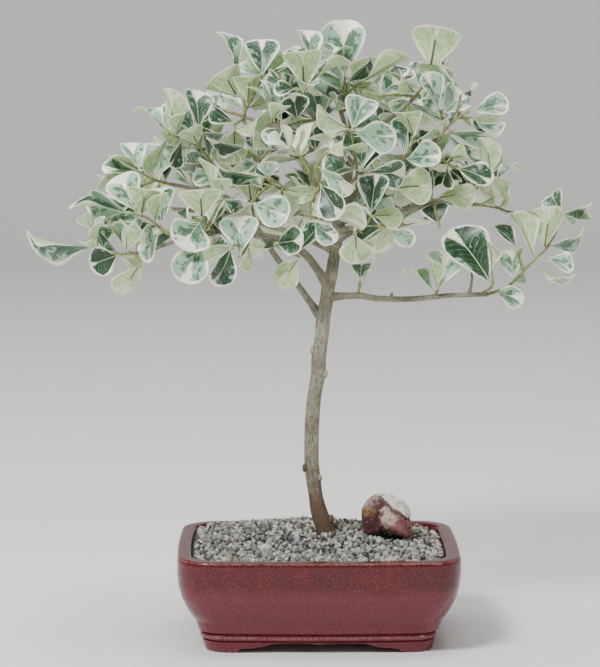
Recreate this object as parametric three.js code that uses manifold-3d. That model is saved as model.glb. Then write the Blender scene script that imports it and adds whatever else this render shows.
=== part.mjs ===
// A small fig tree with variegated triangular leaves, grown in a glazed rectangular pot with cloud feet.
// Millimetres, +Z up. While the pieces are made the pot stands on z = 0 with its middle at x = y = 0 and
// its long front towards -Y. At the end the whole group is moved so that the origin lies under the middle
// of the tree's box.
import * as THREE from "three";
import { mergeVertices } from "three/addons/utils/BufferGeometryUtils.js";
import Module from "manifold-3d";

const wasm = await Module();
wasm.setup();

// Clearance between two pieces that touch on the real thing.
const GAP = 0.3;

// Slivers and steps finer than this, which joining leaves behind, are smoothed away.
const SLIVER = 0.05;

// The glazed pot. Insets are measured inwards from the plan of the rim.
const POT = {
  length: 250,
  depth: 199,
  corner: 28,
  bowFront: 5,
  bowEnd: 3,
  // Height and inset of the outside, from the feet up: feet, groove, roll, groove, belly, rounded rim.
  outside: [
    [0, 24.5], [10, 21.6], [11, 22.7], [12.2, 20.5], [14.4, 19.6], [16.6, 20.4], [17.5, 21.4],
    [18.8, 18.6], [28, 15.6], [34, 11.4], [41, 7.6], [50, 3.6], [60, 1.2], [72, 0], [83, 0.2],
    [85.3, 0.9], [86, 2.4],
  ],
  // Height and inset of the hollow, from the floor up past the rim.
  inside: [[19, 34], [23, 27], [35, 20], [54, 14], [76, 13.4], [84.6, 12.8], [86, 11.4], [88, 11.4]],
  drainX: 55,
  drainRadius: 9,
  drainSides: 12,
};

// The two gaps between the feet: half width and height of the arch, from the middle outwards.
const FOOT_ARCH_FRONT = [
  [0, 7.9], [4, 8.7], [12, 9.4], [38, 9.1], [43, 8.2], [48.6, 6], [57, 4.4], [70, 3.3], [74, 0], [74, -1],
];
const FOOT_ARCH_END = [[0, 9.3], [24, 9], [29, 8.2], [34, 6], [41, 4.4], [48, 3.3], [51, 0], [51, -1]];

const SCREEN = { side: 30, thick: 1, hole: 7, pitch: 11 };
const SOIL_TOP = 70;

// The mound of angular grit over the soil: one high point for each granule, larger than life.
const GRIT = {
  level: 84.5,
  rise: 9.5,
  peakX: -15,
  peakY: 45,
  spreadX: 80,
  spreadY: 60,
  dipRight: 3,
  granule: 11,
  relief: 2.6,
  seed: 407,
};

const STONE = { x: 64, y: 18, z: 107, width: 51, depth: 36, height: 46, detail: 3 };

// The buried foot of the stem: the height that it reaches down to, and its radius.
const STEM_FOOT = { z: 52, radius: 8.2 };
const TRUNK_SIDES = 10;
const BRANCH_SIDES = 5;
const TWIG_SIDES = 3;
const TWIG_RADIUS = { start: 1.5, end: 1.1 };

// Leaf proportions. Lengths along the blade run from 0 at the foot to 1 at the tip, and widths are shares
// of the full width. Arch, cup and twist, each a least value and a range, are shares of the length.
const LEAF = {
  thick: 0.7,
  stalkLength: 4,
  shoulder: 0.76,
  corner: 0.985,
  cornerWidth: 0.6,
  notch: 0.94,
  middle: 0.46,
  fullLength: 44,
  fullRatio: 0.82,
  arch: [0.02, 0.05],
  cup: [0.03, 0.08],
  twist: [-0.08, 0.16],
};

// Leaves set by rule at the back: length, width as a share of it, stalk, rise above the twig's side, and
// the turn from one leaf to the next. A leaf without room is turned on and tried again.
const RULE_LEAF = {
  length: [36, 12],
  ratio: [0.74, 0.16],
  stalk: 5,
  forward: [0.3, 0.5],
  rise: [0.1, 0.35],
  tilt: 0.9,
  goldenAngle: 2.399963,
  turn: 0.37,
  tries: 10,
};

// How far from its branch's middle a spray's first leaf may stand, and the free room over each face of a
// blade.
const BARE_START = 6;
const LEAF_MARGIN = 1.45;

// The ways to try a leaf that was read off the picture: as first guessed, then bent nearer or further, by
// shares of the guess where under 5 and otherwise by millimetres.
const LEAF_TRIES = [0, -0.5, -1, -1.6, 10, -10, 20, -20, 30, -30, 45, -45];

const UPPER = 1;
const UNDER = -1;

// The eye that the tree is drawn from: place in mm, angles in degrees, focal length in pixels of a picture
// of 600 by 667. Leaves, twigs and branches are given by their pixel there, and by their depth: the y at
// which the line of sight through that pixel meets them.
const EYE = { x: -42, y: -2370, z: 554, pitch: 6.66, yaw: 0.62, focal: 2630 };
const PICTURE = { width: 600, height: 667 };

// Trunk: pixel x, pixel y, depth, radius, from the grit up to the leader's tip.
const TRUNK = [
  [320.4, 516, 20, 7.9], [317.5, 505.6, 21, 7.2], [315.5, 494.7, 22, 6.5], [313.4, 478.5, 23, 6.8],
  [311.6, 462, 23, 6.7], [311.5, 446, 22, 6.7], [312, 424, 20, 6.7], [313, 408, 18, 6.6],
  [315, 391.7, 15, 6.4], [318, 375, 12, 6.7], [318.8, 358, 9, 6.7], [321.6, 337, 6, 6.4],
  [323.3, 318, 4, 6.5], [326.2, 302, 4, 6.3], [328.6, 286, 5, 6.1], [331.5, 274, 6, 5.6],
  [333.8, 259, 8, 5.4], [336.4, 245, 9, 4.9], [340, 225, 10, 4.5], [344, 205, 12, 4.1],
  [348, 185, 14, 3.6], [350, 165, 15, 3.0], [351, 145, 16, 2.4], [350, 128, 16, 1.9],
];

// Old pruning knobs on the trunk: pixel x, pixel y, depth, radius.
const KNOBS = [
  [305, 467.5, 20, 3], [320, 478, 18, 2.6], [312.4, 350.5, 6, 2.7], [325.4, 374, 8, 2.7],
  [325, 323, -1, 2], [331, 519, 17, 3.4],
];

// Branches that are one piece with the trunk: pixel x, pixel y, depth, radius.
const BRANCHES = {
  low_left: [
    [326, 282, 5, 3.8], [305, 254, -8, 3.5], [282, 240, -22, 3.1], [250, 234, -34, 2.8],
    [215, 232, -38, 2.4], [180, 240, -32, 2.0], [150, 250, -28, 1.7],
  ],
  second_left: [
    [320, 316, 5, 3.3], [295.5, 282, 14, 3.0], [276, 257, 26, 2.7], [255, 225, 36, 2.4],
    [232, 200, 40, 2.1], [200, 190, 38, 1.8], [170, 184, 34, 1.6],
  ],
  upper_left: [
    [343, 213, 11, 3.3], [315, 200, -6, 3.0], [285, 190, -12, 2.6], [262, 170, -8, 2.3],
    [250, 145, 0, 2.0], [244, 118, 4, 1.7],
  ],
  crown_left: [[351, 150, 16, 2.4], [335, 135, 0, 2.2], [315, 118, -18, 2.0], [302, 102, -26, 1.7]],
  right_low: [
    [328, 297, 4, 3.4], [358, 295.6, -4, 3.0], [376, 298.4, -8, 2.8], [410, 299, -12, 2.6],
    [449, 295.6, -14, 2.3], [488, 294.2, -14, 2.0],
  ],
  right_mid: [
    [338, 238, 9, 3.2], [360, 228, -4, 2.8], [390, 216, -10, 2.5], [420, 207, -8, 2.2],
    [450, 203, -4, 1.9], [472, 204, 0, 1.7],
  ],
  upper_right: [
    [345, 203, 12, 3.2], [368, 185, 0, 2.8], [395, 165, -8, 2.5], [420, 150, -12, 2.2],
    [440, 138, -12, 1.9],
  ],
  top_right: [[350.5, 142, 16, 2.3], [375, 128, 4, 2.2], [398, 112, -4, 2.0], [415, 97, -8, 1.8]],
  front_centre: [[342, 222, 10, 2.8], [337, 215, -20, 2.5], [330, 205, -50, 2.2], [322, 192, -75, 1.9]],
  front_right: [[341, 230, 9, 2.8], [352, 228, -30, 2.4], [366, 228, -60, 2.0]],
  back_left: [
    [335, 252, 8, 3.2], [300, 236, 50, 2.7], [255, 222, 85, 2.3], [205, 212, 105, 1.9],
    [165, 208, 110, 1.6],
  ],
  back_right: [[339, 232, 9, 3.0], [372, 222, 50, 2.6], [412, 208, 85, 2.2], [455, 196, 105, 1.8]],
  back_low: [[336, 246, 8, 3.0], [338, 232, 60, 2.6], [335, 222, 105, 2.2], [345, 212, 145, 1.8]],
  back_high: [[346, 192, 14, 3.0], [345, 170, 60, 2.6], [338, 150, 105, 2.2], [330, 135, 140, 1.8]],
  back_upper_left: [[348, 178, 14, 2.8], [318, 155, 45, 2.4], [280, 130, 75, 2.0], [240, 115, 90, 1.7]],
  back_upper_right: [[349, 165, 14, 2.8], [380, 140, 45, 2.4], [415, 122, 75, 2.0], [450, 118, 90, 1.7]],
  back_top: [[350, 150, 14, 2.3], [342, 115, 45, 2.1], [330, 85, 62, 1.8]],
  bare_shoot: [[469, 295, -14, 1.3], [472, 278, -18, 1.1], [470, 266, -20, 0.9]],
  thorn: [[391, 299, -10, 1.3], [392, 293, -12, 0.9]],
};

// Leafy sprays. `on` names the branch that carries the spray. A twig is a list of points of pixel x, pixel
// y and depth; its first point has no depth, because it lies on the branch or on an earlier twig of the
// spray. A leaf is pixel x and y of its foot, pixel x and y of its tip, the width it shows in pixels, and
// the face that it turns to the eye. `fill` leaves are placed by rule along the last stretches of the twigs.
const SPRAYS = [
  {
    name: "spray_low_left_tip", on: "low_left", seed: 11,
    twigs: [[[150, 250], [135, 253, -28], [120, 254, -26], [97, 251, -24]], [[135, 253], [140, 263, -34]]],
    leaves: [
      [94, 247, 24, 237, 20, UPPER], [98, 248, 103, 218, 6, UNDER], [96, 250, 84, 243, 10, UNDER],
      [120, 256, 88, 266, 30, UPPER], [120, 257, 138, 270, 15, UNDER], [118, 250, 103, 235, 12, UPPER],
      [126, 250, 126, 222, 20, UNDER], [136, 250, 135, 221, 6, UNDER], [142, 265, 123, 297, 26, UNDER],
    ],
  },
  {
    name: "spray_left_edge", on: "low_left", seed: 12,
    twigs: [[[180, 240], [165, 232, -34], [148, 218, -30], [130, 213, -24]]],
    leaves: [
      [130, 212, 86, 198, 28, UPPER], [128, 216, 68, 206, 12, UPPER], [141, 217, 146, 189, 36, UNDER],
      [155, 222, 162, 195, 20, UNDER], [158, 232, 146, 259, 13, UPPER], [152, 224, 143, 240, 14, UPPER],
    ],
  },
  {
    name: "spray_left_upper", on: "second_left", seed: 13,
    twigs: [[[170, 184], [155, 180, 30], [141, 172, 24]], [[155, 180], [135, 189, 26]]],
    leaves: [
      [134, 190, 97, 182, 20, UNDER], [140, 171, 103, 170, 15, UPPER], [140, 170, 110, 156, 6, UNDER],
      [140, 172, 127, 144, 25, UPPER], [166, 182, 176, 160, 14, UPPER], [160, 184, 152, 205, 16, UPPER],
    ],
  },
  {
    name: "spray_upper_left_edge", on: "second_left", seed: 14,
    twigs: [
      [[220, 197], [222, 178, 30], [212, 163, 22], [199, 147, 14], [184, 139, 8], [168, 134, 2]],
      [[199, 147], [199, 130, 10]],
    ],
    leaves: [
      [166, 134, 136, 107, 10, UPPER], [172, 135, 170, 87, 24, UNDER], [176, 135, 184, 112, 14, UNDER],
      [198, 128, 193, 90, 26, UPPER], [199, 147, 190, 129, 26, UNDER], [199, 132, 228, 135, 12, UPPER],
      [197, 150, 153, 139, 9, UPPER], [182, 142, 170, 166, 14, UPPER], [212, 163, 176, 165, 12, UPPER],
      [168, 138, 152, 177, 15, UNDER], [220, 178, 196, 180, 14, UPPER], [218, 180, 194, 171, 12, UNDER],
    ],
  },
  {
    name: "spray_upper_left_top", on: "upper_left", seed: 15,
    twigs: [
      [[244, 118], [245, 107, 2], [240, 80, -4]], [[244, 112], [262, 79, -8]],
      [[244, 118], [234, 125, -8]],
    ],
    leaves: [
      [235, 122, 207, 103, 18, UPPER], [234, 130, 260, 120, 12, UNDER], [236, 95, 222, 70, 34, UNDER],
      [236, 97, 205, 90, 10, UNDER], [242, 110, 222, 98, 10, UPPER], [247, 107, 252, 72, 28, UNDER],
      [260, 78, 262, 37, 36, UPPER], [240, 79, 219, 30, 13, UPPER], [264, 78, 298, 46, 8, UPPER],
      [249, 108, 275, 105, 20, UNDER],
    ],
  },
  {
    name: "spray_centre_left", on: "upper_left", seed: 16,
    twigs: [[[262, 170], [259, 160, -18], [248, 149, -22]], [[259, 160], [270, 150, -26]]],
    leaves: [
      [256, 161, 250, 136, 13, UPPER], [258, 166, 237, 158, 16, UPPER], [260, 162, 268, 149, 15, UPPER],
      [245, 148, 208, 138, 14, UPPER], [270, 150, 255, 133, 16, UNDER],
    ],
  },
  {
    name: "spray_centre_left_low", on: "upper_left", seed: 17,
    twigs: [
      [[285, 190], [272, 183, -26], [264, 178, -34]], [[272, 183], [258, 195, -42], [251, 203, -50]],
      [[272, 183], [283, 187, -44]],
    ],
    leaves: [
      [270, 180, 268, 161, 22, UPPER], [267, 181, 256, 163, 6, UPPER], [262, 178, 215, 167, 14, UPPER],
      [263, 187, 240, 176, 12, UPPER], [250, 204, 290, 218, 34, UPPER], [282, 188, 315, 195, 18, UNDER],
    ],
  },
  {
    name: "spray_left_front", on: "low_left", seed: 18,
    twigs: [
      [[215, 232], [208, 226, -50], [202, 220, -60]], [[208, 226], [215, 212, -58], [222, 200, -62]],
      [[208, 226], [200, 238, -62]], [[202, 220], [189, 221, -58]],
    ],
    leaves: [
      [203, 219, 200, 185, 44, UNDER], [201, 221, 182, 246, 44, UPPER], [198, 240, 184, 283, 38, UPPER],
      [188, 222, 173, 212, 10, UPPER], [222, 200, 222, 179, 20, UNDER], [224, 198, 240, 200, 12, UPPER],
    ],
  },
  {
    name: "spray_low_centre_left", on: "low_left", seed: 19,
    twigs: [[[250, 234], [247, 246, -52], [241, 257, -66]], [[247, 246], [232, 245, -72]]],
    leaves: [
      [242, 258, 238, 213, 40, UPPER], [231, 245, 215, 284, 26, UPPER], [231, 243, 207, 247, 8, UPPER],
      [243, 258, 228, 262, 8, UNDER], [249, 244, 253, 270, 13, UNDER],
    ],
  },
  {
    name: "spray_low_centre", on: "low_left", seed: 20,
    twigs: [[[292, 247], [286, 251, -34], [274, 244, -46]], [[286, 251], [300, 257, -36]]],
    leaves: [[270, 242, 306, 240, 30, UPPER], [302, 257, 279, 283, 26, UNDER]],
  },
  {
    name: "spray_crown", on: "trunk", seed: 21,
    twigs: [[[350, 128], [348, 110, 10], [345, 95, 4], [345, 77, 0]], [[345, 95], [362, 82, -2]]],
    leaves: [
      [345, 76, 342, 19, 46, UPPER], [342, 92, 312, 62, 28, UPPER], [342, 96, 325, 84, 14, UPPER],
      [347, 85, 372, 55, 16, UPPER], [364, 79, 410, 57, 20, UNDER], [356, 90, 378, 84, 18, UNDER],
      [347, 108, 332, 97, 12, UNDER],
    ],
  },
  {
    name: "spray_leader_front", on: "trunk", seed: 22,
    twigs: [
      [[348, 185], [357, 174, -26], [354, 152, -40], [351, 131, -46]], [[357, 174], [364, 173, -44]],
    ],
    leaves: [
      [348, 128, 318, 108, 18, UNDER], [347, 131, 325, 125, 14, UNDER], [352, 127, 366, 95, 34, UPPER],
      [353, 130, 387, 122, 18, UPPER], [356, 133, 397, 136, 32, UPPER], [361, 170, 375, 147, 24, UPPER],
      [366, 175, 405, 172, 30, UPPER],
    ],
  },
  {
    name: "spray_crown_left", on: "crown_left", seed: 23,
    twigs: [
      [[302, 102], [303, 90, -32], [309, 76, -34], [314, 62, -34]],
      [[303, 90], [286, 88, -30], [278, 72, -30]],
    ],
    leaves: [
      [315, 60, 304, 31, 24, UPPER], [304, 88, 302, 47, 40, UNDER], [304, 98, 312, 82, 17, UNDER],
      [299, 92, 277, 93, 12, UPPER], [283, 88, 268, 72, 14, UPPER], [278, 70, 305, 58, 14, UPPER],
    ],
  },
  {
    name: "spray_crown_left_low", on: "crown_left", seed: 24,
    twigs: [[[317, 120], [300, 122, -34], [285, 126, -40], [270, 122, -38]]],
    leaves: [
      [298, 121, 293, 95, 30, UPPER], [270, 122, 285, 108, 15, UNDER], [284, 128, 268, 141, 14, UPPER],
    ],
  },
  {
    name: "spray_young_shoot", on: "front_centre", seed: 25, young: true,
    twigs: [[[330, 205], [313, 180, -62], [303, 160, -66], [293, 150, -68]]],
    leaves: [
      [290, 148, 268, 141, 9, UPPER], [289, 147, 281, 125, 8, UPPER], [296, 150, 298, 131, 16, UPPER],
      [302, 153, 318, 120, 14, UPPER], [303, 158, 332, 140, 12, UPPER],
    ],
  },
  {
    name: "spray_centre_front", on: "front_centre", seed: 26,
    twigs: [
      [[322, 192], [318, 180, -86], [315, 168, -90]], [[320, 186], [310, 205, -88], [311, 220, -88]],
      [[315, 168], [326, 152, -86]],
    ],
    leaves: [
      [315, 165, 354, 190, 20, UPPER], [321, 181, 343, 217, 30, UPPER], [315, 187, 320, 214, 16, UNDER],
      [311, 221, 336, 238, 20, UPPER], [327, 150, 345, 141, 14, UNDER],
    ],
  },
  {
    name: "spray_right_front", on: "front_right", seed: 27,
    twigs: [
      [[366, 228], [376, 226, -70], [386, 228, -76]], [[366, 228], [356, 232, -74]],
      [[366, 228], [371, 216, -70]],
    ],
    leaves: [
      [385, 227, 354, 224, 38, UPPER], [385, 229, 372, 255, 16, UNDER], [355, 233, 356, 262, 34, UNDER],
      [387, 231, 413, 240, 16, UPPER], [372, 214, 400, 214, 22, UNDER],
    ],
  },
  {
    name: "spray_upper_right_mid", on: "upper_right", seed: 28,
    twigs: [
      [[395, 165], [402, 160, -26], [408, 152, -32], [414, 138, -34]],
      [[400, 162], [396, 172, -28], [391, 188, -30]],
    ],
    leaves: [
      [405, 160, 441, 158, 26, UPPER], [403, 152, 408, 131, 15, UPPER], [390, 190, 433, 185, 38, UNDER],
      [416, 135, 402, 108, 26, UNDER],
    ],
  },
  {
    name: "spray_top_right", on: "top_right", seed: 29,
    twigs: [[[415, 97], [424, 84, -12], [430, 70, -14]], [[415, 97], [398, 94, -20], [378, 96, -24]]],
    leaves: [
      [430, 68, 438, 25, 50, UNDER], [414, 92, 402, 75, 14, UNDER], [376, 95, 398, 82, 26, UPPER],
      [411, 100, 393, 106, 8, UPPER], [420, 88, 414, 66, 12, UPPER],
    ],
  },
  {
    name: "spray_upper_right_end", on: "upper_right", seed: 30,
    twigs: [
      [[440, 138], [445, 130, -14], [455, 120, -16], [470, 111, -16]], [[445, 130], [440, 110, -22]],
      [[455, 120], [461, 95, -14]],
    ],
    leaves: [
      [442, 127, 416, 100, 26, UPPER], [440, 108, 425, 72, 22, UPPER], [441, 115, 462, 92, 34, UPPER],
      [462, 92, 475, 86, 6, UPPER], [444, 130, 446, 116, 10, UNDER], [471, 112, 508, 105, 22, UPPER],
      [452, 133, 500, 133, 20, UPPER], [447, 134, 474, 150, 12, UPPER],
    ],
  },
  {
    name: "spray_right_upper", on: "upper_right", seed: 31,
    twigs: [[[420, 150], [438, 156, -22], [451, 166, -22], [472, 172, -20], [493, 177, -18]]],
    leaves: [
      [449, 160, 452, 187, 9, UPPER], [454, 168, 492, 183, 22, UPPER], [492, 175, 483, 138, 20, UNDER],
      [450, 158, 473, 155, 20, UNDER], [497, 179, 520, 165, 7, UPPER],
    ],
  },
  {
    name: "spray_right_mid_tip", on: "right_mid", seed: 32,
    twigs: [[[472, 204], [495, 207, 2], [509, 212, 2], [530, 213, 4], [538, 210, 4]]],
    leaves: [
      [474, 206, 454, 206, 5, UPPER], [480, 202, 500, 192, 8, UNDER], [500, 208, 509, 190, 9, UNDER],
    ],
  },
  {
    name: "spray_right_mid_side", on: "right_mid", seed: 33,
    twigs: [[[430, 206], [435, 199, -22]], [[433, 202], [440, 228, -26]]],
    leaves: [[437, 197, 474, 189, 24, UNDER], [438, 231, 434, 203, 29, UPPER]],
  },
  {
    name: "spray_low_right_first", on: "right_low", seed: 34,
    twigs: [[[358, 295.6], [359, 288, -8], [360, 281, -10]]],
    leaves: [[360, 281, 362, 260, 28, UPPER]],
  },
  {
    name: "spray_low_right_shoot", on: "right_low", seed: 35,
    twigs: [[[434, 297.5], [438, 290, -20]]],
    leaves: [
      [433, 293, 405, 268, 9, UPPER], [439, 288, 449, 250, 38, UPPER], [436, 287, 428, 256, 12, UNDER],
    ],
  },
  {
    name: "spray_low_right_big", on: "right_low", seed: 36,
    twigs: [[[480, 294.3], [492, 286, -30], [492, 271, -34]]],
    leaves: [[494, 284, 450, 228, 44, UPPER], [491, 268, 489, 238, 12, UNDER]],
  },
  {
    name: "spray_low_right_tip", on: "right_low", seed: 37,
    twigs: [
      [[488, 294.2], [506, 288, -16], [523, 272, -16], [530, 264, -14], [545, 250, -12]],
      [[545, 250], [556, 232, -10], [562, 215, -8]], [[523, 272], [518, 252, -22]],
    ],
    leaves: [
      [494, 290, 522, 298, 22, UPPER], [512, 280, 513, 246, 27, UPPER], [508, 284, 525, 266, 7, UPPER],
      [534, 258, 512, 211, 20, UNDER], [543, 250, 551, 206, 34, UNDER], [547, 248, 586, 233, 18, UPPER],
      [538, 259, 572, 268, 12, UPPER], [530, 266, 575, 277, 6, UPPER], [516, 246, 490, 225, 16, UPPER],
      [560, 214, 552, 194, 24, UPPER], [564, 213, 587, 203, 10, UPPER], [564, 216, 587, 217, 5, UPPER],
    ],
  },
  backSpray("left_tip", "back_left", 51, 6, [[165, 208], [140, 202, 114], [118, 198, 110]]),
  backSpray("left_mid", "back_left", 52, 6, [[205, 212], [196, 190, 125], [186, 165, 136]]),
  backSpray("left_inner", "back_left", 53, 6, [[255, 222], [250, 200, 106], [240, 180, 124]]),
  backSpray("left_low", "back_left", 54, 6, [[250, 221], [232, 232, 110], [212, 242, 128]]),
  backSpray("right_tip", "back_right", 55, 6, [[455, 196], [468, 192, 116], [484, 184, 122]]),
  backSpray("right_mid", "back_right", 56, 6, [[412, 208], [422, 188, 112], [432, 165, 130]]),
  backSpray("right_low", "back_right", 57, 6, [[405, 210], [400, 226, 108], [390, 234, 132]]),
  backSpray("low_tip", "back_low", 58, 6, [[345, 212], [330, 200, 165], [310, 190, 182]]),
  backSpray("low_right", "back_low", 59, 6, [[336, 226], [368, 215, 132], [390, 204, 156]]),
  backSpray("low_left", "back_low", 60, 6, [[335, 222], [302, 215, 126], [276, 210, 150]]),
  backSpray("high_tip", "back_high", 61, 6, [[330, 135], [320, 120, 155], [305, 108, 165]]),
  backSpray("high_left", "back_high", 62, 6, [[338, 150], [308, 156, 124], [282, 160, 146]]),
  backSpray("high_right", "back_high", 63, 6, [[339, 153], [370, 150, 130], [396, 144, 150]]),
  backSpray("upper_left_tip", "back_upper_left", 64, 6, [[240, 115], [220, 110, 96], [204, 112, 96]]),
  backSpray("upper_left_mid", "back_upper_left", 65, 6, [[280, 130], [276, 105, 90], [272, 82, 96]]),
  backSpray("upper_right_tip", "back_upper_right", 66, 6, [[450, 118], [470, 118, 92], [484, 124, 92]]),
  backSpray("upper_right_mid", "back_upper_right", 67, 6, [[415, 122], [422, 100, 88], [428, 82, 92]]),
  backSpray("top", "back_top", 68, 6, [[330, 85], [324, 68, 68], [322, 56, 70]]),
  backSpray("top_right", "back_top", 69, 6, [[341, 112], [366, 100, 62], [390, 86, 72]]),
];

function backSpray(place, on, seed, fill, twig) {
  return { name: "spray_back_" + place, on, seed, fill, twigs: [twig], leaves: [] };
}

// Leaves placed by rule keep inside the canopy's outline: pixel x and y round it.
const CANOPY = [
  [60, 215], [98, 168], [138, 132], [165, 98], [215, 72], [238, 46], [270, 44], [310, 46], [330, 30],
  [356, 40], [382, 56], [412, 56], [446, 46], [460, 84], [496, 104], [508, 130], [494, 150], [516, 168],
  [512, 192], [478, 206], [440, 216], [420, 236], [400, 246], [372, 264], [345, 246], [310, 240],
  [298, 262], [262, 262], [238, 268], [200, 272], [150, 258], [108, 268], [74, 236],
];

const COLOURS = {
  glaze: 0x8a3540,
  soil: 0x4a3a2e,
  grit: 0x9aa09a,
  stone: 0xa8705c,
  bark: 0x8f8672,
  leaf: 0xb9cfa6,
  youngLeaf: 0xe6ecd4,
  screen: 0x2c2c2c,
};

// Seeded random numbers from 0 to 1, the same on every machine.
function randomFrom(seed) {
  let state = seed * 7919 + 17;
  return () => {
    state = (state * 16807) % 2147483647;
    return state / 2147483647;
  };
}

// The point at a depth, on the line of sight through a pixel.
const radians = Math.PI / 180;
const eye = new THREE.Vector3(EYE.x, EYE.y, EYE.z);
const sinP = Math.sin(EYE.pitch * radians);
const cosP = Math.cos(EYE.pitch * radians);
const sinY = Math.sin(EYE.yaw * radians);
const cosY = Math.cos(EYE.yaw * radians);
const forward = new THREE.Vector3(sinY * cosP, cosY * cosP, -sinP);
const rightward = new THREE.Vector3(cosY, -sinY, 0);
const upward = new THREE.Vector3(sinY * sinP, cosY * sinP, cosP);

function sight(px, py, depth) {
  const ray = forward
    .clone()
    .addScaledVector(rightward, (px - PICTURE.width / 2) / EYE.focal)
    .addScaledVector(upward, (PICTURE.height / 2 - py) / EYE.focal);
  return eye.clone().addScaledVector(ray, (depth - EYE.y) / ray.y);
}

// The pixel that a point is seen at.
function pixel(point) {
  const offset = point.clone().sub(eye);
  const scale = EYE.focal / offset.dot(forward);
  return [
    PICTURE.width / 2 + scale * offset.dot(rightward),
    PICTURE.height / 2 - scale * offset.dot(upward),
  ];
}

// A value from a least value and a range.
const pick = ([least, range], random) => least + range * random();

// Solids and meshes
function solidOf(geometry) {
  const bare = new THREE.BufferGeometry();
  bare.setAttribute("position", geometry.getAttribute("position"));
  if (geometry.index) bare.setIndex(geometry.index);
  const merged = mergeVertices(bare, 1e-3);
  return new wasm.Manifold(
    new wasm.Mesh({
      numProp: 3,
      vertProperties: merged.attributes.position.array,
      triVerts: new Uint32Array(merged.index.array),
    }),
  );
}

// The mesh of a solid, without the slivers and loose scraps that joining leaves.
function meshOf(solid, name, colour, roughness) {
  const bodies = solid.asOriginal().simplify(SLIVER).decompose();
  bodies.sort((a, b) => b.volume() - a.volume());
  const made = bodies[0].getMesh();
  const geometry = new THREE.BufferGeometry();
  geometry.setAttribute("position", new THREE.BufferAttribute(made.vertProperties, 3));
  geometry.setIndex(new THREE.BufferAttribute(made.triVerts, 1));
  geometry.computeVertexNormals();
  const material = new THREE.MeshStandardMaterial({ color: colour, roughness, metalness: 0 });
  const mesh = new THREE.Mesh(geometry, material);
  mesh.name = name;
  return mesh;
}

function solidFromFaces(points, faces) {
  const geometry = new THREE.BufferGeometry().setFromPoints(points);
  geometry.setIndex(faces.flat());
  return solidOf(geometry);
}

// A closed solid through rings of equal length, with flat fans as its ends. Rings run anticlockwise
// seen from the side that the last ring faces.
function loft(rings) {
  const count = rings[0].length;
  const points = rings.flat();
  const faces = [];
  for (let r = 0; r + 1 < rings.length; r++)
    for (let i = 0; i < count; i++) {
      const a = r * count + i;
      const b = r * count + ((i + 1) % count);
      faces.push([a, b, b + count], [a, b + count, a + count]);
    }
  const last = (rings.length - 1) * count;
  for (let i = 1; i + 1 < count; i++) {
    faces.push([0, i + 1, i]);
    faces.push([last, last + i, last + i + 1]);
  }
  return solidFromFaces(points, faces);
}

// A tube along a path of { at, radius }, with rings carried along it without twist.
function tube(path, sides, grow = 0, relief = () => 1) {
  const along = path.map((p, i) => {
    const before = path[Math.max(i - 1, 0)].at;
    const after = path[Math.min(i + 1, path.length - 1)].at;
    return after.clone().sub(before).normalize();
  });
  let side = new THREE.Vector3(1, 0, 0);
  if (Math.abs(along[0].x) > 0.8) side = new THREE.Vector3(0, 1, 0);
  const rings = path.map(({ at, radius }, i) => {
    side.addScaledVector(along[i], -side.dot(along[i])).normalize();
    const across = along[i].clone().cross(side);
    return Array.from({ length: sides }, (_, k) => {
      const angle = (2 * Math.PI * k) / sides;
      const reach = (radius + grow) * relief(angle, i);
      return at
        .clone()
        .addScaledVector(side, reach * Math.cos(angle))
        .addScaledVector(across, reach * Math.sin(angle));
    });
  });
  return loft(rings);
}

// Pot
const ARC_STEPS = 4;
const SIDE_STEPS = 2;
const CORNER_SHARPENING = 0.45;

// The plan of the pot, inset from its rim: corner arcs joined by sides that bow outwards. The corners get
// sharper with the inset, by a share of it.
function planRing(inset, z) {
  const halfX = POT.length / 2 - inset;
  const halfY = POT.depth / 2 - inset;
  const corner = POT.corner - inset * CORNER_SHARPENING;
  const signs = [[1, -1], [1, 1], [-1, 1], [-1, -1]];
  const flat = [];
  for (let c = 0; c < 4; c++) {
    for (let i = 0; i <= ARC_STEPS; i++) {
      const angle = ((c - 1 + i / ARC_STEPS) * Math.PI) / 2;
      flat.push([
        signs[c][0] * (halfX - corner) + corner * Math.cos(angle),
        signs[c][1] * (halfY - corner) + corner * Math.sin(angle),
      ]);
    }
    const [fromX, fromY] = flat[flat.length - 1];
    const next = signs[(c + 1) % 4];
    const angle = (c * Math.PI) / 2;
    const toX = next[0] * (halfX - corner) + corner * Math.cos(angle);
    const toY = next[1] * (halfY - corner) + corner * Math.sin(angle);
    for (let i = 1; i < SIDE_STEPS + 1; i++) {
      const t = i / (SIDE_STEPS + 1);
      flat.push([fromX + (toX - fromX) * t, fromY + (toY - fromY) * t]);
    }
  }
  return flat.map(([x, y]) => {
    const bowX = POT.bowEnd * Math.sign(x) * Math.max(0, 1 - (y / halfY) ** 2);
    const bowY = POT.bowFront * Math.sign(y) * Math.max(0, 1 - (x / halfX) ** 2);
    return new THREE.Vector3(x + bowX, y + bowY, z);
  });
}

function prism(outline, from, to) {
  const shape = new THREE.Shape(outline.map(([x, y]) => new THREE.Vector2(x, y)));
  const geometry = new THREE.ExtrudeGeometry(shape, { depth: to - from, bevelEnabled: false });
  return geometry.translate(0, 0, from);
}

// The arch between two feet, mirrored about its middle.
function archOutline(half) {
  const mirrored = half.slice(1).map(([x, z]) => [-x, z]);
  return [...mirrored.reverse(), ...half];
}

function cylinder(radius, from, to, x, y, sides) {
  const geometry = new THREE.CylinderGeometry(radius, radius, to - from, sides);
  geometry.rotateX(Math.PI / 2).translate(x, y, (from + to) / 2);
  return solidOf(geometry);
}

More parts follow.
